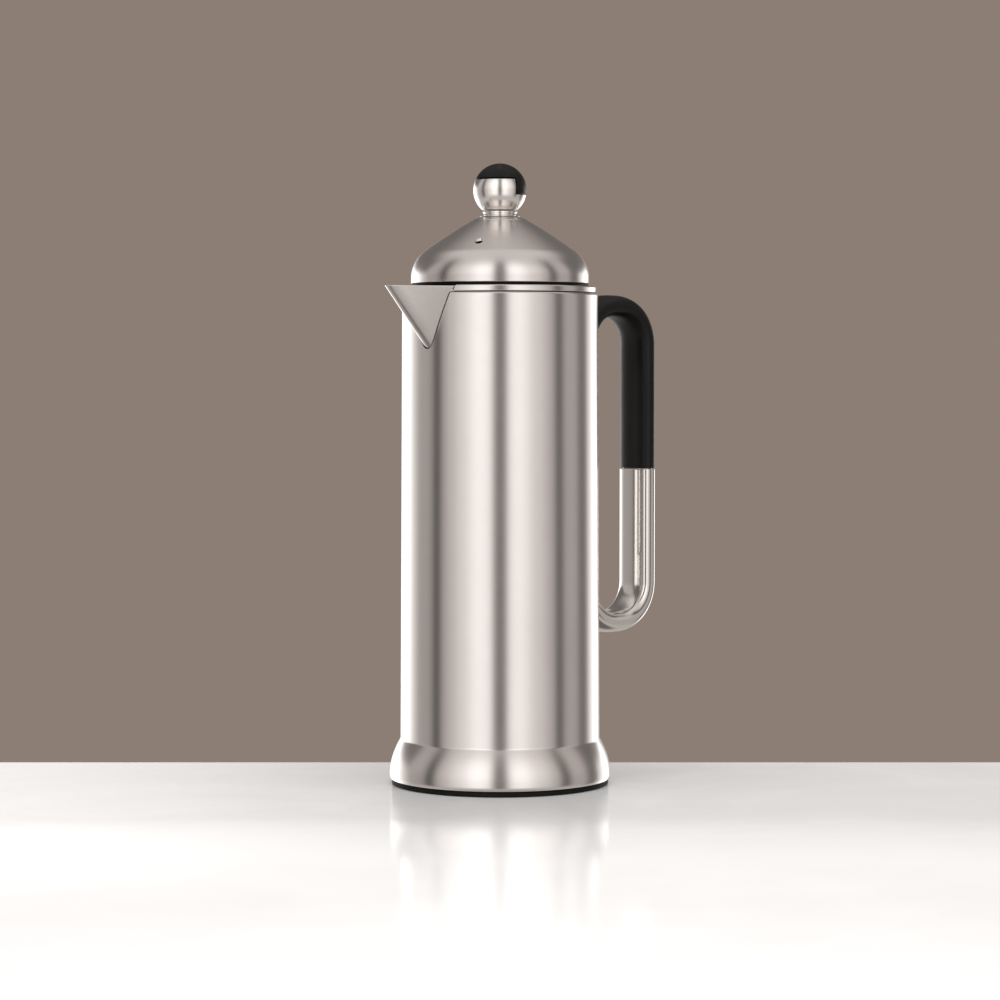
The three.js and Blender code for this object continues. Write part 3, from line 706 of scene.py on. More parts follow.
def collar_turning():
    seat_z = lid_top_z + GAP
    bead = 0.7 * MM
    waist = 8.1 * MM
    bead_radius = 8.6 * MM
    lip = 0.18 * MM
    bottom = low("neck_collar").z
    cove_start = Vector((collar_radius - 1.5 * lip, seat_z + 2 * lip))
    cove_corner = Vector((waist, seat_z + 0.6 * MM))
    cove_end = Vector((waist, collar_top_z - 2 * bead))
    cove = [cove_start * (1 - t) ** 2 + cove_corner * 2 * t * (1 - t) + cove_end * t * t
            for t in np.linspace(0, 1, 11)]
    points = [
        Vector((COLLAR_BORE, bottom)), Vector((COLLAR_SHANK, bottom)),
        Vector((COLLAR_SHANK, seat_z)),
        *round_corner(collar_radius - lip, seat_z + lip, lip, -90, 70, 6), *cove,
        *round_corner(bead_radius - bead, collar_top_z - bead, bead, -60, 90, 12),
        Vector((COLLAR_BORE, collar_top_z))]
    return turned("collar_turning", points, sides=128)


def guide_turning():
    bottom, top = low("rod_guide").z, high("rod_guide").z
    flange = high("rod_guide").y
    flange_top = bottom + 1.2 * MM
    radius = COLLAR_BORE - GAP
    edge, flange_edge = 0.2 * MM, 0.3 * MM
    points = filleted([
        (ROD_HOLE, bottom, edge), (flange, bottom, flange_edge), (flange, flange_top, flange_edge),
        (radius, flange_top), (radius, top, edge), (ROD_HOLE, top, flange_edge)], steps=3)
    return turned("guide_turning", points, sides=96)


# ------------------------------------------------------------------ knob
CAP_LINE = 5.45 * MM
CAP_STEP = 2.2 * MM
CAP_STEP_BACK = 1.1 * MM
CAP_GROOVE = 0.8 * MM
CAP_REBATE = 0.7 * MM
BALL_EDGE = 0.25 * MM
CAP_EDGE = 0.4 * MM


def knob_profile(inset=0.0):
    radius = knob_radius - inset
    flat_angle = math.degrees(math.asin((knob_flat_z - knob_z) / knob_radius))
    round_part = round_corner(0, knob_z, radius, flat_angle, 90, 60)
    round_part[-1].x = 0
    return [Vector((0, round_part[0].y)), *round_part]


def step_cutter(inset, above):
    """All the room above or below the stepped line between the black cap and the steel ball."""
    size = 2 * knob_radius
    top_z = knob_z + CAP_LINE + inset
    side_z = knob_z - CAP_STEP + inset
    step_x = inset - CAP_STEP_BACK
    line = [(-size, top_z), (step_x, top_z), (step_x, side_z), (size, side_z)]
    if above:
        outline = [*line, (size, knob_z + size), (-size, knob_z + size)]
    else:
        outline = [(-size, knob_z - size), (size, knob_z - size), *reversed(line)]
    return stacked("cutter", [[(x, y, z) for x, z in outline] for y in (size, -size)])


def knob_steel_ball():
    insert_low, insert_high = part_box("knob_insert")
    points = knob_profile()
    piece, closed = turn_mesh("knob_steel_ball", points, 160)
    cut(piece, step_cutter(-CAP_GROOVE / 2, above=True))
    cut(piece, cylinder_cutter(
        insert_high.y + GAP, knob_flat_z - knob_radius, insert_high.z + GAP))
    bevelled(piece, BALL_EDGE, 35)
    smooth_turned(piece, points, closed, 30)
    return piece


def knob_black_cap():
    """The cap, with a rebate under its edge that sits in the groove above the steel."""
    points = knob_profile()
    piece, closed = turn_mesh("knob_black_cap", points, 160)
    cut(piece, step_cutter(CAP_GROOVE / 2, above=False))
    rebate, _ = turn_mesh("rebate", knob_profile(CAP_REBATE), 160)
    cut(rebate, step_cutter(0.1 * MM - CAP_GROOVE / 2, above=False))
    cut(piece, rebate, "UNION")
    bevelled(piece, CAP_EDGE, 35)
    smooth_turned(piece, points, closed, 30)
    return piece


# ------------------------------------------------------------------ rod and filter
def rod_turning():
    rod_low, rod_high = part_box("plunger_rod")
    shoulder = rod_high.y
    shoulder_z = high("spiral_plate").z + GAP
    shoulder_top = shoulder_z + 3 * MM
    taper_top = shoulder_top + 1.2 * MM
    edge, rod_edge = 0.3 * MM, 0.4 * MM
    points = filleted([
        (0, rod_low.z), (ROD_RADIUS, rod_low.z, rod_edge), (ROD_RADIUS, shoulder_z),
        (shoulder, shoulder_z, edge), (shoulder, shoulder_top, edge),
        (ROD_RADIUS, taper_top, rod_edge), (ROD_RADIUS, rod_high.z, rod_edge),
        (0, rod_high.z)], steps=3)
    return turned("rod_turning", points, sides=64)


def flat_ring(name, node, inner, edge, cutters=()):
    bottom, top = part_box(node)
    points = filleted([
        (inner, bottom.z), (top.y, bottom.z, edge), (top.y, top.z, edge), (inner, top.z)], steps=3)
    return turned(name, points, cutters=cutters)


def pierced_plate():
    bottom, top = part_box("spiral_plate")
    hole_radius = 3.6 * MM
    step = (top.y - ROD_HOLE) / 3
    cutters = []
    for ring, count in ((1, 6), (2, 12)):
        for i in range(count):
            angle = 2 * math.pi * i / count
            radius = ROD_HOLE + step * ring
            cutters.append(cylinder_cutter(
                hole_radius, bottom.z - MM, top.z + MM,
                radius * math.cos(angle), radius * math.sin(angle), sides=40))
    return flat_ring("pierced_plate", "spiral_plate", ROD_HOLE, 0.2 * MM, cutters)


def cross_frame():
    bottom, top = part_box("cross_plate")
    rim = 4.5 * MM
    hub_hole = 4.8 * MM
    outer = top.y - rim
    inner = 9.0 * MM
    half_arm = 3.5 * MM
    cutters = []
    for i in range(4):
        a_out, a_in = math.asin(half_arm / outer), math.asin(half_arm / inner)
        arc_out = np.linspace(a_out, math.pi / 2 - a_out, 25)
        arc_in = np.linspace(math.pi / 2 - a_in, a_in, 13)
        outline = [(outer * math.cos(a), outer * math.sin(a)) for a in arc_out]
        outline += [(inner * math.cos(a), inner * math.sin(a)) for a in arc_in]
        cutters.append(stacked("cutter", [
            rotated_z([(x, y, z) for x, y in outline], i * math.pi / 2)
            for z in (bottom.z - MM, top.z + MM)]))
    return flat_ring("cross_frame", "cross_plate", hub_hole, 0.25 * MM, cutters)


def woven_disc():
    return flat_ring("woven_disc", "mesh_screen", ROD_HOLE, 0.2 * MM)


def hub_turning():
    bottom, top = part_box("filter_hub")
    flange_top = bottom.z + 1.2 * MM
    radius = 4.5 * MM
    edge = 0.2 * MM
    points = filleted([
        (ROD_HOLE, bottom.z, edge), (top.y, bottom.z, edge * 2), (top.y, flange_top, edge * 1.5),
        (radius, flange_top), (radius, top.z, edge), (ROD_HOLE, top.z, edge)], steps=3)
    return turned("hub_turning", points, sides=96)


def spring_coil():
    """A closed ring of wire coils that springs out against the vessel's bore."""
    bottom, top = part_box("filter_spring")
    wire = 0.32 * MM
    coil = (top.z - bottom.z) / 2 - wire
    ring_radius = top.y - coil - wire
    middle_z = (top.z + bottom.z) / 2
    turns, steps, sides = 130, 14, 7
    t = np.arange(turns * steps) * 2 * math.pi / (turns * steps)
    spin = t * turns
    outward = np.stack([np.cos(t), np.sin(t), 0 * t], 1)
    up = np.array([0.0, 0.0, 1.0])
    normal = outward * np.cos(spin)[:, None] + up * np.sin(spin)[:, None]
    centre = outward * ring_radius + normal * coil + up * middle_z
    along = np.roll(centre, -1, 0) - np.roll(centre, 1, 0)
    along /= np.linalg.norm(along, axis=1, keepdims=True)
    side = np.cross(along, normal)
    rings = []
    for c, n, s in zip(centre, normal, side):
        rings.append([c + wire * (n * math.cos(a) + s * math.sin(a))
                      for a in np.linspace(0, 2 * math.pi, sides, endpoint=False)])
    count = len(rings)
    faces = [[i * sides + k, i * sides + (k + 1) % sides,
              (i + 1) % count * sides + (k + 1) % sides, (i + 1) % count * sides + k]
             for i in range(count) for k in range(sides)]
    piece = new_mesh("spring_coil", [p for ring in rings for p in ring], faces)
    piece.data.shade_smooth()
    return piece


# ------------------------------------------------------------------ node helpers
def add(tree, kind, inputs=None, **settings):
    node = tree.nodes.new(kind)
    for key, value in settings.items():
        setattr(node, key, value)
    for key, value in (inputs or {}).items():
        if isinstance(value, bpy.types.NodeSocket):
            tree.links.new(value, node.inputs[key])
        else:
            node.inputs[key].default_value = value
    return node


def maths(tree, operation, a, b=0.0):
    return add(tree, "ShaderNodeMath", {0: a, 1: b}, operation=operation).outputs[0]


def times(tree, a, b):
    return maths(tree, "MULTIPLY", a, b)


def rise(tree, value, start, end):
    """From 0 at the start to 1 at the end, and level beyond them."""
    return spread(tree, value, 0.0, 1.0, start, end)


def spread(tree, value, low_value, high_value, from_low=0.0, from_high=1.0):
    return add(tree, "ShaderNodeMapRange", {
        "Value": value, "From Min": from_low, "From Max": from_high,
        "To Min": low_value, "To Max": high_value}).outputs["Result"]


def rgba(levels):
    return (*levels, 1)


def blend_colours(tree, factor, a, b):
    node = add(tree, "ShaderNodeMix", data_type="RGBA")
    for socket, value in (("Factor_Float", factor), ("A_Color", a), ("B_Color", b)):
        target = next(s for s in node.inputs if s.identifier == socket)
        if isinstance(value, bpy.types.NodeSocket):
            tree.links.new(value, target)
        else:
            target.default_value = value
    return next(s for s in node.outputs if s.identifier == "Result_Color")


def own_place(tree):
    """Where a point lies on its own piece, in metres."""
    return add(tree, "ShaderNodeTexCoord").outputs["Object"]


def noise(tree, place, scale, detail, roughness=0.5, distortion=0.0):
    return add(tree, "ShaderNodeTexNoise", {
        "Vector": place, "Scale": scale, "Detail": detail, "Roughness": roughness,
        "Distortion": distortion}).outputs["Fac"]


def new_group(name, inputs, outputs):
    tree = bpy.data.node_groups.new(name, "ShaderNodeTree")
    for label, value in inputs.items():
        tree.interface.new_socket(
            label, in_out="INPUT", socket_type="NodeSocketFloat").default_value = value
    for label in outputs:
        tree.interface.new_socket(label, in_out="OUTPUT", socket_type="NodeSocketFloat")
    return tree, tree.nodes.new("NodeGroupInput").outputs, tree.nodes.new("NodeGroupOutput").inputs


def turning_lines_group():
    """Fine lines round the Z axis, as a polishing wheel leaves them on a turned piece."""
    tree, given, result = new_group(
        "Turning lines", {"Around": 6.0, "Across": 1500.0}, ["Lines", "Bands"])
    xyz = add(tree, "ShaderNodeSeparateXYZ", {0: own_place(tree)}).outputs
    square = maths(tree, "ADD", times(tree, xyz[0], xyz[0]), times(tree, xyz[1], xyz[1]))
    across = maths(tree, "SQRT", square)
    radius = maths(tree, "MAXIMUM", across, 0.0005)
    level = maths(tree, "SUBTRACT", xyz[2], across)

    def streaks(around, level_scale, detail):
        vector = add(tree, "ShaderNodeCombineXYZ", {
            0: times(tree, maths(tree, "DIVIDE", xyz[0], radius), around),
            1: times(tree, maths(tree, "DIVIDE", xyz[1], radius), around),
            2: times(tree, level, level_scale)}).outputs[0]
        return noise(tree, vector, 1.0, detail, 0.6)

    tree.links.new(streaks(given["Around"], given["Across"], 3.0), result["Lines"])
    broad = times(tree, given["Across"], 0.08)
    tree.links.new(streaks(times(tree, given["Around"], 0.35), broad, 2.0),
                   result["Bands"])
    return tree


def handling_group():
    """Soft smudges from hands and wiping, and sparse small specks."""
    tree, given, result = new_group(
        "Handling marks", {"Size": 60.0, "Speck size": 900.0}, ["Smudges", "Specks"])
    place = own_place(tree)
    smudges = noise(tree, place, given["Size"], 4.0, 0.55, 0.6)
    tree.links.new(rise(tree, smudges, 0.32, 0.7), result["Smudges"])
    specks = noise(tree, place, given["Speck size"], 1.0)
    tree.links.new(rise(tree, specks, 0.66, 0.74), result["Specks"])
    return tree


def edge_wear_and_hollow_shade_group():
    """A mask of worn outer edges, broken up so that it isn't an even line, and a mask of hollows and
    creases that carries painted shade.
    """
    tree, given, result = new_group(
        "Edge wear and hollow shade", {"Start": 0.52, "Full": 0.6, "Break size": 700.0}, ["Worn", "Painted hollow shade"])
    point = add(tree, "ShaderNodeNewGeometry").outputs["Pointiness"]
    patches = noise(tree, own_place(tree), given["Break size"], 3.0)
    worn = rise(tree, point, given["Start"], given["Full"])
    broken = times(tree, worn, spread(tree, patches, 0.25, 1.0, 0.35, 0.6))
    tree.links.new(broken, result["Worn"])
    # Low pointiness marks hollows and creases: this mask paints shade into the colour there.
    tree.links.new(spread(tree, point, 1.0, 0.0, 0.4, 0.49), result["Painted hollow shade"])
    return tree


def moulded_grain_group():
    """The fine even grain of moulded plastic and rubber."""
    tree, given, result = new_group("Moulded grain", {"Size": 2500.0}, ["Grain", "Mottle"])
    place = own_place(tree)
    tree.links.new(noise(tree, place, given["Size"], 2.0), result["Grain"])
    mottle = noise(tree, place, times(tree, given["Size"], 0.04), 4.0)
    tree.links.new(rise(tree, mottle, 0.3, 0.7), result["Mottle"])
    return tree


def weave_group():
    """Plain woven wire cloth lying flat."""
    tree, given, result = new_group("Wire cloth", {"Wires per metre": 2200.0}, ["Height", "Gap"])
    xyz = add(tree, "ShaderNodeSeparateXYZ", {0: own_place(tree)}).outputs
    pitch = times(tree, given["Wires per metre"], math.pi)
    u = maths(tree, "SINE", times(tree, xyz[0], pitch))
    v = maths(tree, "SINE", times(tree, xyz[1], pitch))
    crossing = times(tree, u, v)
    tree.links.new(rise(tree, crossing, -1.0, 1.0), result["Height"])
    hole = times(tree, maths(tree, "ABSOLUTE", u), maths(tree, "ABSOLUTE", v))
    tree.links.new(rise(tree, hole, 0.5, 0.9), result["Gap"])
    return tree


GROUPS = {make.__name__: make() for make in (
    turning_lines_group, handling_group, edge_wear_and_hollow_shade_group, moulded_grain_group, weave_group)}


def effect(tree, maker, **values):
    node = add(tree, "ShaderNodeGroup")
    node.node_tree = GROUPS[maker.__name__]
    for label, value in values.items():
        node.inputs[label.replace("_", " ")].default_value = value
    return node.outputs


def blank_material(name):
    material = bpy.data.materials.new(name)
    material.use_nodes = True
    tree = material.node_tree
    tree.nodes.clear()
    shader = add(tree, "ShaderNodeBsdfPrincipled")
    output = add(tree, "ShaderNodeOutputMaterial")
    tree.links.new(shader.outputs["BSDF"], output.inputs["Surface"])
    return material, tree, shader


def bump(tree, shader, height, depth):
    node = add(tree, "ShaderNodeBump", {"Height": height, "Distance": depth, "Strength": 1.0})
    tree.links.new(node.outputs["Normal"], shader.inputs["Normal"])


# ------------------------------------------------------------------ finishes
def steel(name, bright, dull, smooth, rough, depth, along=0.0, around=6.0, across=1500.0,
          smudge_size=60.0, tangent=None):
    """Steel between two tints and two roughnesses, with lines round the axis, worn edges and painted
    shade darkening its hollows.

    depth is how deep the lines are, and along how far they draw reflections out across them.
    """
    material, tree, shader = blank_material(name)
    lines = effect(tree, turning_lines_group, Around=around, Across=across)
    marks = effect(tree, handling_group, Size=smudge_size)
    edges = effect(tree, edge_wear_and_hollow_shade_group)
    soft = times(tree, marks["Smudges"], 0.25)
    mixed = maths(tree, "ADD", soft, times(tree, lines["Bands"], 0.4))
    colour = blend_colours(tree, mixed, rgba(bright), rgba(dull))
    polished = rgba(min(1.0, c * 1.12) for c in bright)
    colour = blend_colours(tree, edges["Worn"], colour, polished)
    # Painted shade: the colour is darkened in hollows and creases, where shade would fall.
    painted_hollow_shade = rgba(c * 0.55 for c in dull)
    colour = blend_colours(tree, times(tree, edges["Painted hollow shade"], 0.6), colour, painted_hollow_shade)
    tree.links.new(colour, shader.inputs["Base Color"])
    streaked = maths(tree, "ADD", times(tree, lines["Lines"], 0.5),
                     times(tree, mixed, 0.5))
    tree.links.new(spread(tree, streaked, smooth, rough, 0.2, 0.8), shader.inputs["Roughness"])
    shader.inputs["Metallic"].default_value = 1.0
    shader.inputs["Anisotropic"].default_value = along
    shader.inputs["Anisotropic Rotation"].default_value = 0.25
    if tangent:
        direction = add(tree, "ShaderNodeTangent", direction_type="RADIAL", axis=tangent)
        tree.links.new(direction.outputs[0], shader.inputs["Tangent"])
    bump(tree, shader, lines["Lines"], depth)
    return material


def satin_steel():
    return steel("satin_steel", (0.79, 0.76, 0.735), (0.74, 0.70, 0.67), smooth=0.24, rough=0.29,
                 depth=1.8 * MICRON, along=0.6, around=14.0, smudge_size=25.0, tangent="Z")


def tube_steel():
    return steel("tube_steel", (0.81, 0.785, 0.755), (0.76, 0.725, 0.69), smooth=0.12, rough=0.17,
                 depth=0.1 * MICRON, around=12.0, across=120.0, smudge_size=40.0)


def knob_steel():
    return steel("knob_steel", (0.90, 0.87, 0.84), (0.84, 0.80, 0.77), smooth=0.19, rough=0.25,
                 depth=0.6 * MICRON, around=5.0, across=900.0, smudge_size=120.0)


def plain_steel():
    return steel("plain_steel", (0.72, 0.69, 0.66), (0.62, 0.59, 0.56), smooth=0.28, rough=0.42,
                 depth=4 * MICRON, around=20.0, across=900.0)


def rod_steel():
    return steel("rod_steel", (0.80, 0.78, 0.75), (0.74, 0.71, 0.68), smooth=0.12, rough=0.2,
                 depth=1 * MICRON, along=0.2, around=3.0, across=2500.0, tangent="Z")


def filter_steel():
    return steel("filter_steel", (0.72, 0.70, 0.67), (0.6, 0.57, 0.54), smooth=0.2, rough=0.36,
                 depth=3 * MICRON, around=25.0, across=800.0)


def insert_brass():
    return steel("insert_brass", (0.78, 0.56, 0.26), (0.6, 0.42, 0.18), smooth=0.25, rough=0.4,
                 depth=3 * MICRON, around=12.0, across=2500.0)


def mesh_steel():
    material, tree, shader = blank_material("mesh_steel")
    cloth = effect(tree, weave_group)
    marks = effect(tree, handling_group, Size=120.0)
    wire = blend_colours(
        tree, marks["Smudges"], rgba((0.62, 0.60, 0.57)), rgba((0.5, 0.47, 0.44)))
    # The openings between the wires are painted near black: painted shade standing in for the dark
    # seen through the cloth.
    colour = blend_colours(tree, cloth["Gap"], wire, rgba((0.03, 0.03, 0.03)))
    tree.links.new(colour, shader.inputs["Base Color"])
    tree.links.new(spread(tree, cloth["Height"], 0.45, 0.3), shader.inputs["Roughness"])
    shader.inputs["Metallic"].default_value = 1.0
    bump(tree, shader, cloth["Height"], 120 * MICRON)
    return material


def moulded(name, base, pale, worn, smooth, rough, grain_size, depth, specular=0.5):
    """Plastic or rubber with a fine grain, faint mottling, handling marks and paler worn edges."""
    material, tree, shader = blank_material(name)
    grain = effect(tree, moulded_grain_group, Size=grain_size)
    marks = effect(tree, handling_group, Size=45.0)
    edges = effect(tree, edge_wear_and_hollow_shade_group, Start=0.53, Full=0.64)
    worn = rgba(worn)
    colour = blend_colours(tree, grain["Mottle"], rgba(base), rgba(pale))
    colour = blend_colours(tree, times(tree, marks["Specks"], 0.3), colour, worn)
    colour = blend_colours(tree, times(tree, edges["Worn"], 0.5), colour, worn)
    tree.links.new(colour, shader.inputs["Base Color"])
    tree.links.new(spread(tree, marks["Smudges"], smooth, rough), shader.inputs["Roughness"])
    shader.inputs["Specular IOR Level"].default_value = specular
    bump(tree, shader, grain["Grain"], depth)
    return material


def grip_black():
    return moulded("grip_black", (0.0012, 0.0012, 0.0014), (0.002, 0.002, 0.0022),
                   (0.02, 0.02, 0.021), smooth=0.38, rough=0.46, grain_size=1800.0,
                   depth=3 * MICRON, specular=0.3)


def liner_black():
    return moulded("liner_black", (0.002, 0.002, 0.0022), (0.004, 0.004, 0.0042),
                   (0.04, 0.04, 0.041), smooth=0.42, rough=0.55, grain_size=2200.0,
                   depth=20 * MICRON, specular=0.12)


def pad_black():
    return moulded("pad_black", (0.003, 0.003, 0.003), (0.006, 0.0058, 0.0055),
                   (0.04, 0.038, 0.036), smooth=0.62, rough=0.8, grain_size=1500.0,
                   depth=50 * MICRON, specular=0.2)


def seal_silicone():
    return moulded("seal_silicone", (0.24, 0.24, 0.235), (0.3, 0.3, 0.29), (0.42, 0.42, 0.41),
                   smooth=0.5, rough=0.65, grain_size=2600.0, depth=10 * MICRON)


def guide_nylon():
    return moulded("guide_nylon", (0.62, 0.6, 0.54), (0.7, 0.68, 0.62), (0.8, 0.79, 0.75),
                   smooth=0.38, rough=0.5, grain_size=2400.0, depth=10 * MICRON)


def table_top():
    """The pale table: a soft even surface with faint mottling."""
    material, tree, shader = blank_material("table_top")
    grain = effect(tree, moulded_grain_group, Size=500.0)
    marks = effect(tree, handling_group, Size=9.0)
    colour = blend_colours(
        tree, grain["Mottle"], rgba((0.86, 0.855, 0.85)), rgba((0.89, 0.885, 0.88)))
    tree.links.new(colour, shader.inputs["Base Color"])
    tree.links.new(spread(tree, marks["Smudges"], 0.10, 0.16), shader.inputs["Roughness"])
    bump(tree, shader, grain["Grain"], 10 * MICRON)
    return material


# ------------------------------------------------------------------ putting it together
FINISHES = {make.__name__: make() for make in (
    satin_steel, tube_steel, knob_steel, plain_steel, rod_steel, filter_steel, mesh_steel, grip_black,
    liner_black, pad_black, seal_silicone, guide_nylon, insert_brass)}

PIECES = [
    (shell_sheet, "outer_shell", "vessel", "satin_steel"),
    (inner_vessel_spinning, "inner_vessel", "vessel", "satin_steel"),
    (folded_spout, "spout", "vessel", "satin_steel"),
    (foot_pad, "base_pad", "vessel", "pad_black"),
    (bare_tube, "handle_tube", "vessel", "tube_steel"),
    (grip_sleeve, "handle_grip", "vessel", "grip_black"),
    (seal_lips, "lid_seal", "seal_ring", "seal_silicone"),
    (lid_spinning, "lid_dome", "lid", "satin_steel"),
    (liner_moulding, "lid_liner", "lid", "liner_black"),
    (collar_turning, "neck_collar", "lid", "knob_steel"),
    (guide_turning, "rod_guide", "guide_bush", "guide_nylon"),
    (knob_steel_ball, "knob_ball", "plunger", "knob_steel"),
    (knob_black_cap, "knob_cap", "plunger", "grip_black"),
    (rod_turning, "plunger_rod", "plunger", "rod_steel"),
    (pierced_plate, "spiral_plate", "plunger", "filter_steel"),
    (spring_coil, "filter_spring", "plunger", "filter_steel"),
    (woven_disc, "mesh_screen", "plunger", "mesh_steel"),
    (cross_frame, "cross_plate", "plunger", "filter_steel"),
    (hub_turning, "filter_hub", "plunger", "filter_steel"),
]

CARRIED_OVER = {
    "base_plate": "plain_steel", "tube_end_plug": "plain_steel", "handle_core": "plain_steel",
    "grip_weld_pad": "plain_steel", "collar_nut": "plain_steel", "knob_insert": "insert_brass",
}

EXTRA_PIECES = [(rim_gasket, "vessel", "pad_black")]


def finished(piece, body, finish):
    piece.data.materials.clear()
    piece.data.materials.append(FINISHES[finish])
    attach(piece, body)
    return piece


def place_pieces():
    for make, node, body, finish in PIECES:
        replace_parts(finished(make(), body, finish), node)
    for make, body, finish in EXTRA_PIECES:
        finished(make(), body, finish)
    for node, finish in CARRIED_OVER.items():
        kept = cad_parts[node]
        kept.data.materials.clear()
        kept.data.materials.append(FINISHES[finish])


# ------------------------------------------------------------------ floor, lights and camera
CAMERA_DISTANCE = 1.5
CAMERA_PLACE = Vector((-0.687 * CAMERA_DISTANCE, -0.7266 * CAMERA_DISTANCE, 0.2085))
CAMERA_TARGET = Vector((0, 0, 0.142))
CAMERA_LENS = 108
TOWARDS_CAMERA = math.atan2(CAMERA_PLACE.y, CAMERA_PLACE.x)
TABLE_BEHIND, TABLE_AHEAD = 0.078, 0.75     # from the press, away from and towards the camera
TABLE_HALF_WIDTH = 1.1
TABLE_DEPTH = 0.03
TABLE_EDGE = 0.002


def lay_floor():
    outline = [(-TABLE_BEHIND, -TABLE_HALF_WIDTH), (TABLE_AHEAD, -TABLE_HALF_WIDTH),
               (TABLE_AHEAD, TABLE_HALF_WIDTH), (-TABLE_BEHIND, TABLE_HALF_WIDTH)]
    floor = stacked("table", [rotated_z([(x, y, z) for x, y in outline], TOWARDS_CAMERA)
                              for z in (-TABLE_DEPTH, 0)])
    bevelled(floor, TABLE_EDGE)
    smooth_by_angle(floor, 50)
    floor.data.materials.append(table_top())
    floor.visible_glossy = False


# Brightness of the panels and gaps round the press, by degrees from the camera's side.
STUDIO_RING = [
    (-180, .45), (-168, 1.0), (-154, 2.4), (-138, 2.1), (-127, 1.25), (-116, .72), (-108, .42),
    (-95, .42), (-87, .36), (-81, .05), (-76, .05), (-69, .46), (-58, .62), (-45, .85),
    (-25, 1.25), (-12, 1.2), (-5, .16), (0, .06), (5, .16), (12, 1.15), (22, 1.2), (45, .76),
    (64, .5), (70, .09), (76, .09), (82, .46), (98, .46), (108, .17), (118, .17), (128, 1.0),
    (150, 2.4), (161, .5)]
# Brightness overhead, by how far the direction leans back (-1) or towards the camera (1).
OVERHEAD = [(-1, .2), (-.83, .17), (-.68, .26), (-.53, .36), (-.37, .6), (-.15, .72),
            (.2, .72), (.6, .6), (1, .5)]
BRIGHTEST = 2.4
WARM_BELOW = 1.7
# Each band below fades in between two heights of the direction, from 0 (level) to 1 (upright).
RING_TOP = (0.5, 0.93)            # where the ring gives way to what is overhead
RING_TOP_BEHIND = (0.07, 0.2)     # and the same behind the press
PANEL_FROM = (0.5, 0.85)
LOW_BAND = (0.0, 0.2)
TABLE_FROM = (0.3, 0.5)
UNDER_FROM = (0.7, 0.9)
BACK_FROM = (1.75, 2.0)           # behind the press begins this far round, in radians
LOW_GLOW = 0.22                   # the ring is this much brighter above its low band
DIM = (0.17, 0.156, 0.15, 1)      # between the ring and the panel overhead
TABLE_GLOW = (0.52, 0.49, 0.47, 1)
UNDERNEATH = (0.16, 0.14, 0.13, 1)
BACKDROP = (0.262, 0.209, 0.174, 1)
FILL_POWER = 24
FILL_SIZE = 1.6
FILL_HEIGHT = 1.3


def brightness_ramp(tree, value, stops, low_end, high_end):
    """A smooth run of levels, with the dark ones a little warmer than the bright ones."""
    share = rise(tree, value, low_end, high_end)
    ramp = add(tree, "ShaderNodeValToRGB", {"Fac": share})
    ramp.color_ramp.interpolation = "EASE"
    elements = ramp.color_ramp.elements
    elements.remove(elements[1])
    for i, (at, level) in enumerate(stops):
        place = (at - low_end) / (high_end - low_end)
        stop = elements.new(place) if i else elements[0]
        stop.position = place
        warmth = 0.1 * max(0.0, 1 - level / WARM_BELOW)
        level /= BRIGHTEST
        stop.color = (level, level * (1 - warmth), level * (1 - 1.5 * warmth), 1)
    scaled = add(tree, "ShaderNodeVectorMath", {0: ramp.outputs["Color"], "Scale": BRIGHTEST},
                 operation="SCALE")
    return scaled.outputs["Vector"]


def smooth_between(tree, value, start, end):
    return add(tree, "ShaderNodeMapRange", {
        "Value": value, "From Min": start, "From Max": end, "To Min": 0.0, "To Max": 1.0},
        interpolation_type="SMOOTHSTEP").outputs["Result"]


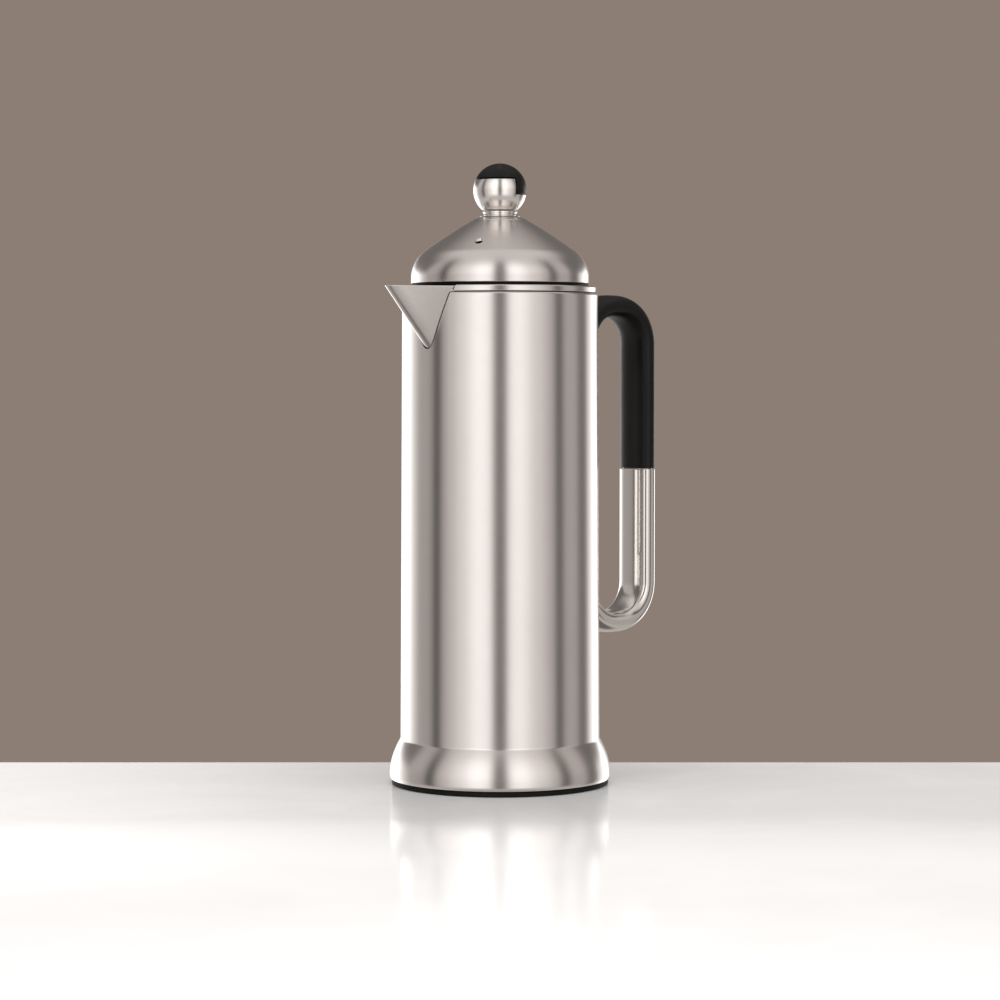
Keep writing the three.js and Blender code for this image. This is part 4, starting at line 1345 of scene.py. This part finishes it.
def light_studio():
    """Soft panels and dark gaps in a ring round the press, a panel overhead and a plain backdrop."""
    world = bpy.data.worlds.new("studio")
    bpy.context.scene.world = world
    world.use_nodes = True
    tree = world.node_tree
    tree.nodes.clear()
    direction = add(tree, "ShaderNodeTexCoord").outputs["Generated"]
    xyz = add(tree, "ShaderNodeSeparateXYZ", {0: direction}).outputs
    turn = maths(tree, "SUBTRACT", maths(tree, "ARCTAN2", xyz[1], xyz[0]), TOWARDS_CAMERA)
    turn = add(tree, "ShaderNodeMath", {0: turn, 1: math.pi, 2: -math.pi},
               operation="WRAP").outputs[0]
    ring = brightness_ramp(tree, times(tree, turn, 180 / math.pi),
                           STUDIO_RING, -180, 180)
    lean = add(tree, "ShaderNodeVectorMath", {
        0: direction, 1: (math.cos(TOWARDS_CAMERA), math.sin(TOWARDS_CAMERA), 0)},
        operation="DOT_PRODUCT").outputs["Value"]
    panel = brightness_ramp(tree, lean, OVERHEAD, -1, 1)
    behind = smooth_between(tree, maths(tree, "ABSOLUTE", turn), *BACK_FROM)
    above_ring = smooth_between(
        tree, xyz[2], spread(tree, behind, RING_TOP[0], RING_TOP_BEHIND[0]),
        spread(tree, behind, RING_TOP[1], RING_TOP_BEHIND[1]))
    overhead = blend_colours(tree, smooth_between(tree, xyz[2], *PANEL_FROM), DIM, panel)
    low_glow = times(tree, smooth_between(tree, xyz[2], *LOW_BAND), LOW_GLOW)
    ring = add(tree, "ShaderNodeVectorMath", {
        0: ring, "Scale": maths(tree, "ADD", low_glow, 1.0)}, operation="SCALE").outputs["Vector"]
    level = blend_colours(tree, above_ring, ring, overhead)
    down = times(tree, xyz[2], -1.0)
    level = blend_colours(tree, smooth_between(tree, down, *TABLE_FROM), level, TABLE_GLOW)
    level = blend_colours(tree, smooth_between(tree, down, *UNDER_FROM), level, UNDERNEATH)
    seen = add(tree, "ShaderNodeLightPath").outputs["Is Camera Ray"]
    colour = blend_colours(tree, seen, level, BACKDROP)
    background = add(tree, "ShaderNodeBackground", {"Color": colour, "Strength": 1.0})
    output = add(tree, "ShaderNodeOutputWorld")
    tree.links.new(background.outputs[0], output.inputs["Surface"])


def hang_softbox():
    """A wide overhead light that fills the table and the black parts without showing in the steel."""
    light = bpy.data.lights.new("overhead_fill", "AREA")
    light.shape = "DISK"
    light.size = FILL_SIZE
    light.energy = FILL_POWER
    lamp = bpy.data.objects.new("overhead_fill", light)
    lamp.location = (CAMERA_PLACE.x * 0.2, CAMERA_PLACE.y * 0.2, FILL_HEIGHT)
    lamp.visible_glossy = False
    lamp.visible_camera = False
    bpy.context.scene.collection.objects.link(lamp)


def place_camera():
    data = bpy.data.cameras.new("camera")
    data.lens = CAMERA_LENS
    data.sensor_width = 36
    data.clip_start = 0.01
    camera = bpy.data.objects.new("camera", data)
    camera.location = CAMERA_PLACE
    camera.rotation_mode = "QUATERNION"
    camera.rotation_quaternion = (CAMERA_TARGET - CAMERA_PLACE).to_track_quat("-Z", "Y")
    bpy.context.scene.collection.objects.link(camera)
    bpy.context.scene.camera = camera


place_camera()
place_pieces()
lay_floor()
light_studio()
hang_softbox()
bpy.context.scene.view_settings.view_transform = "Standard"
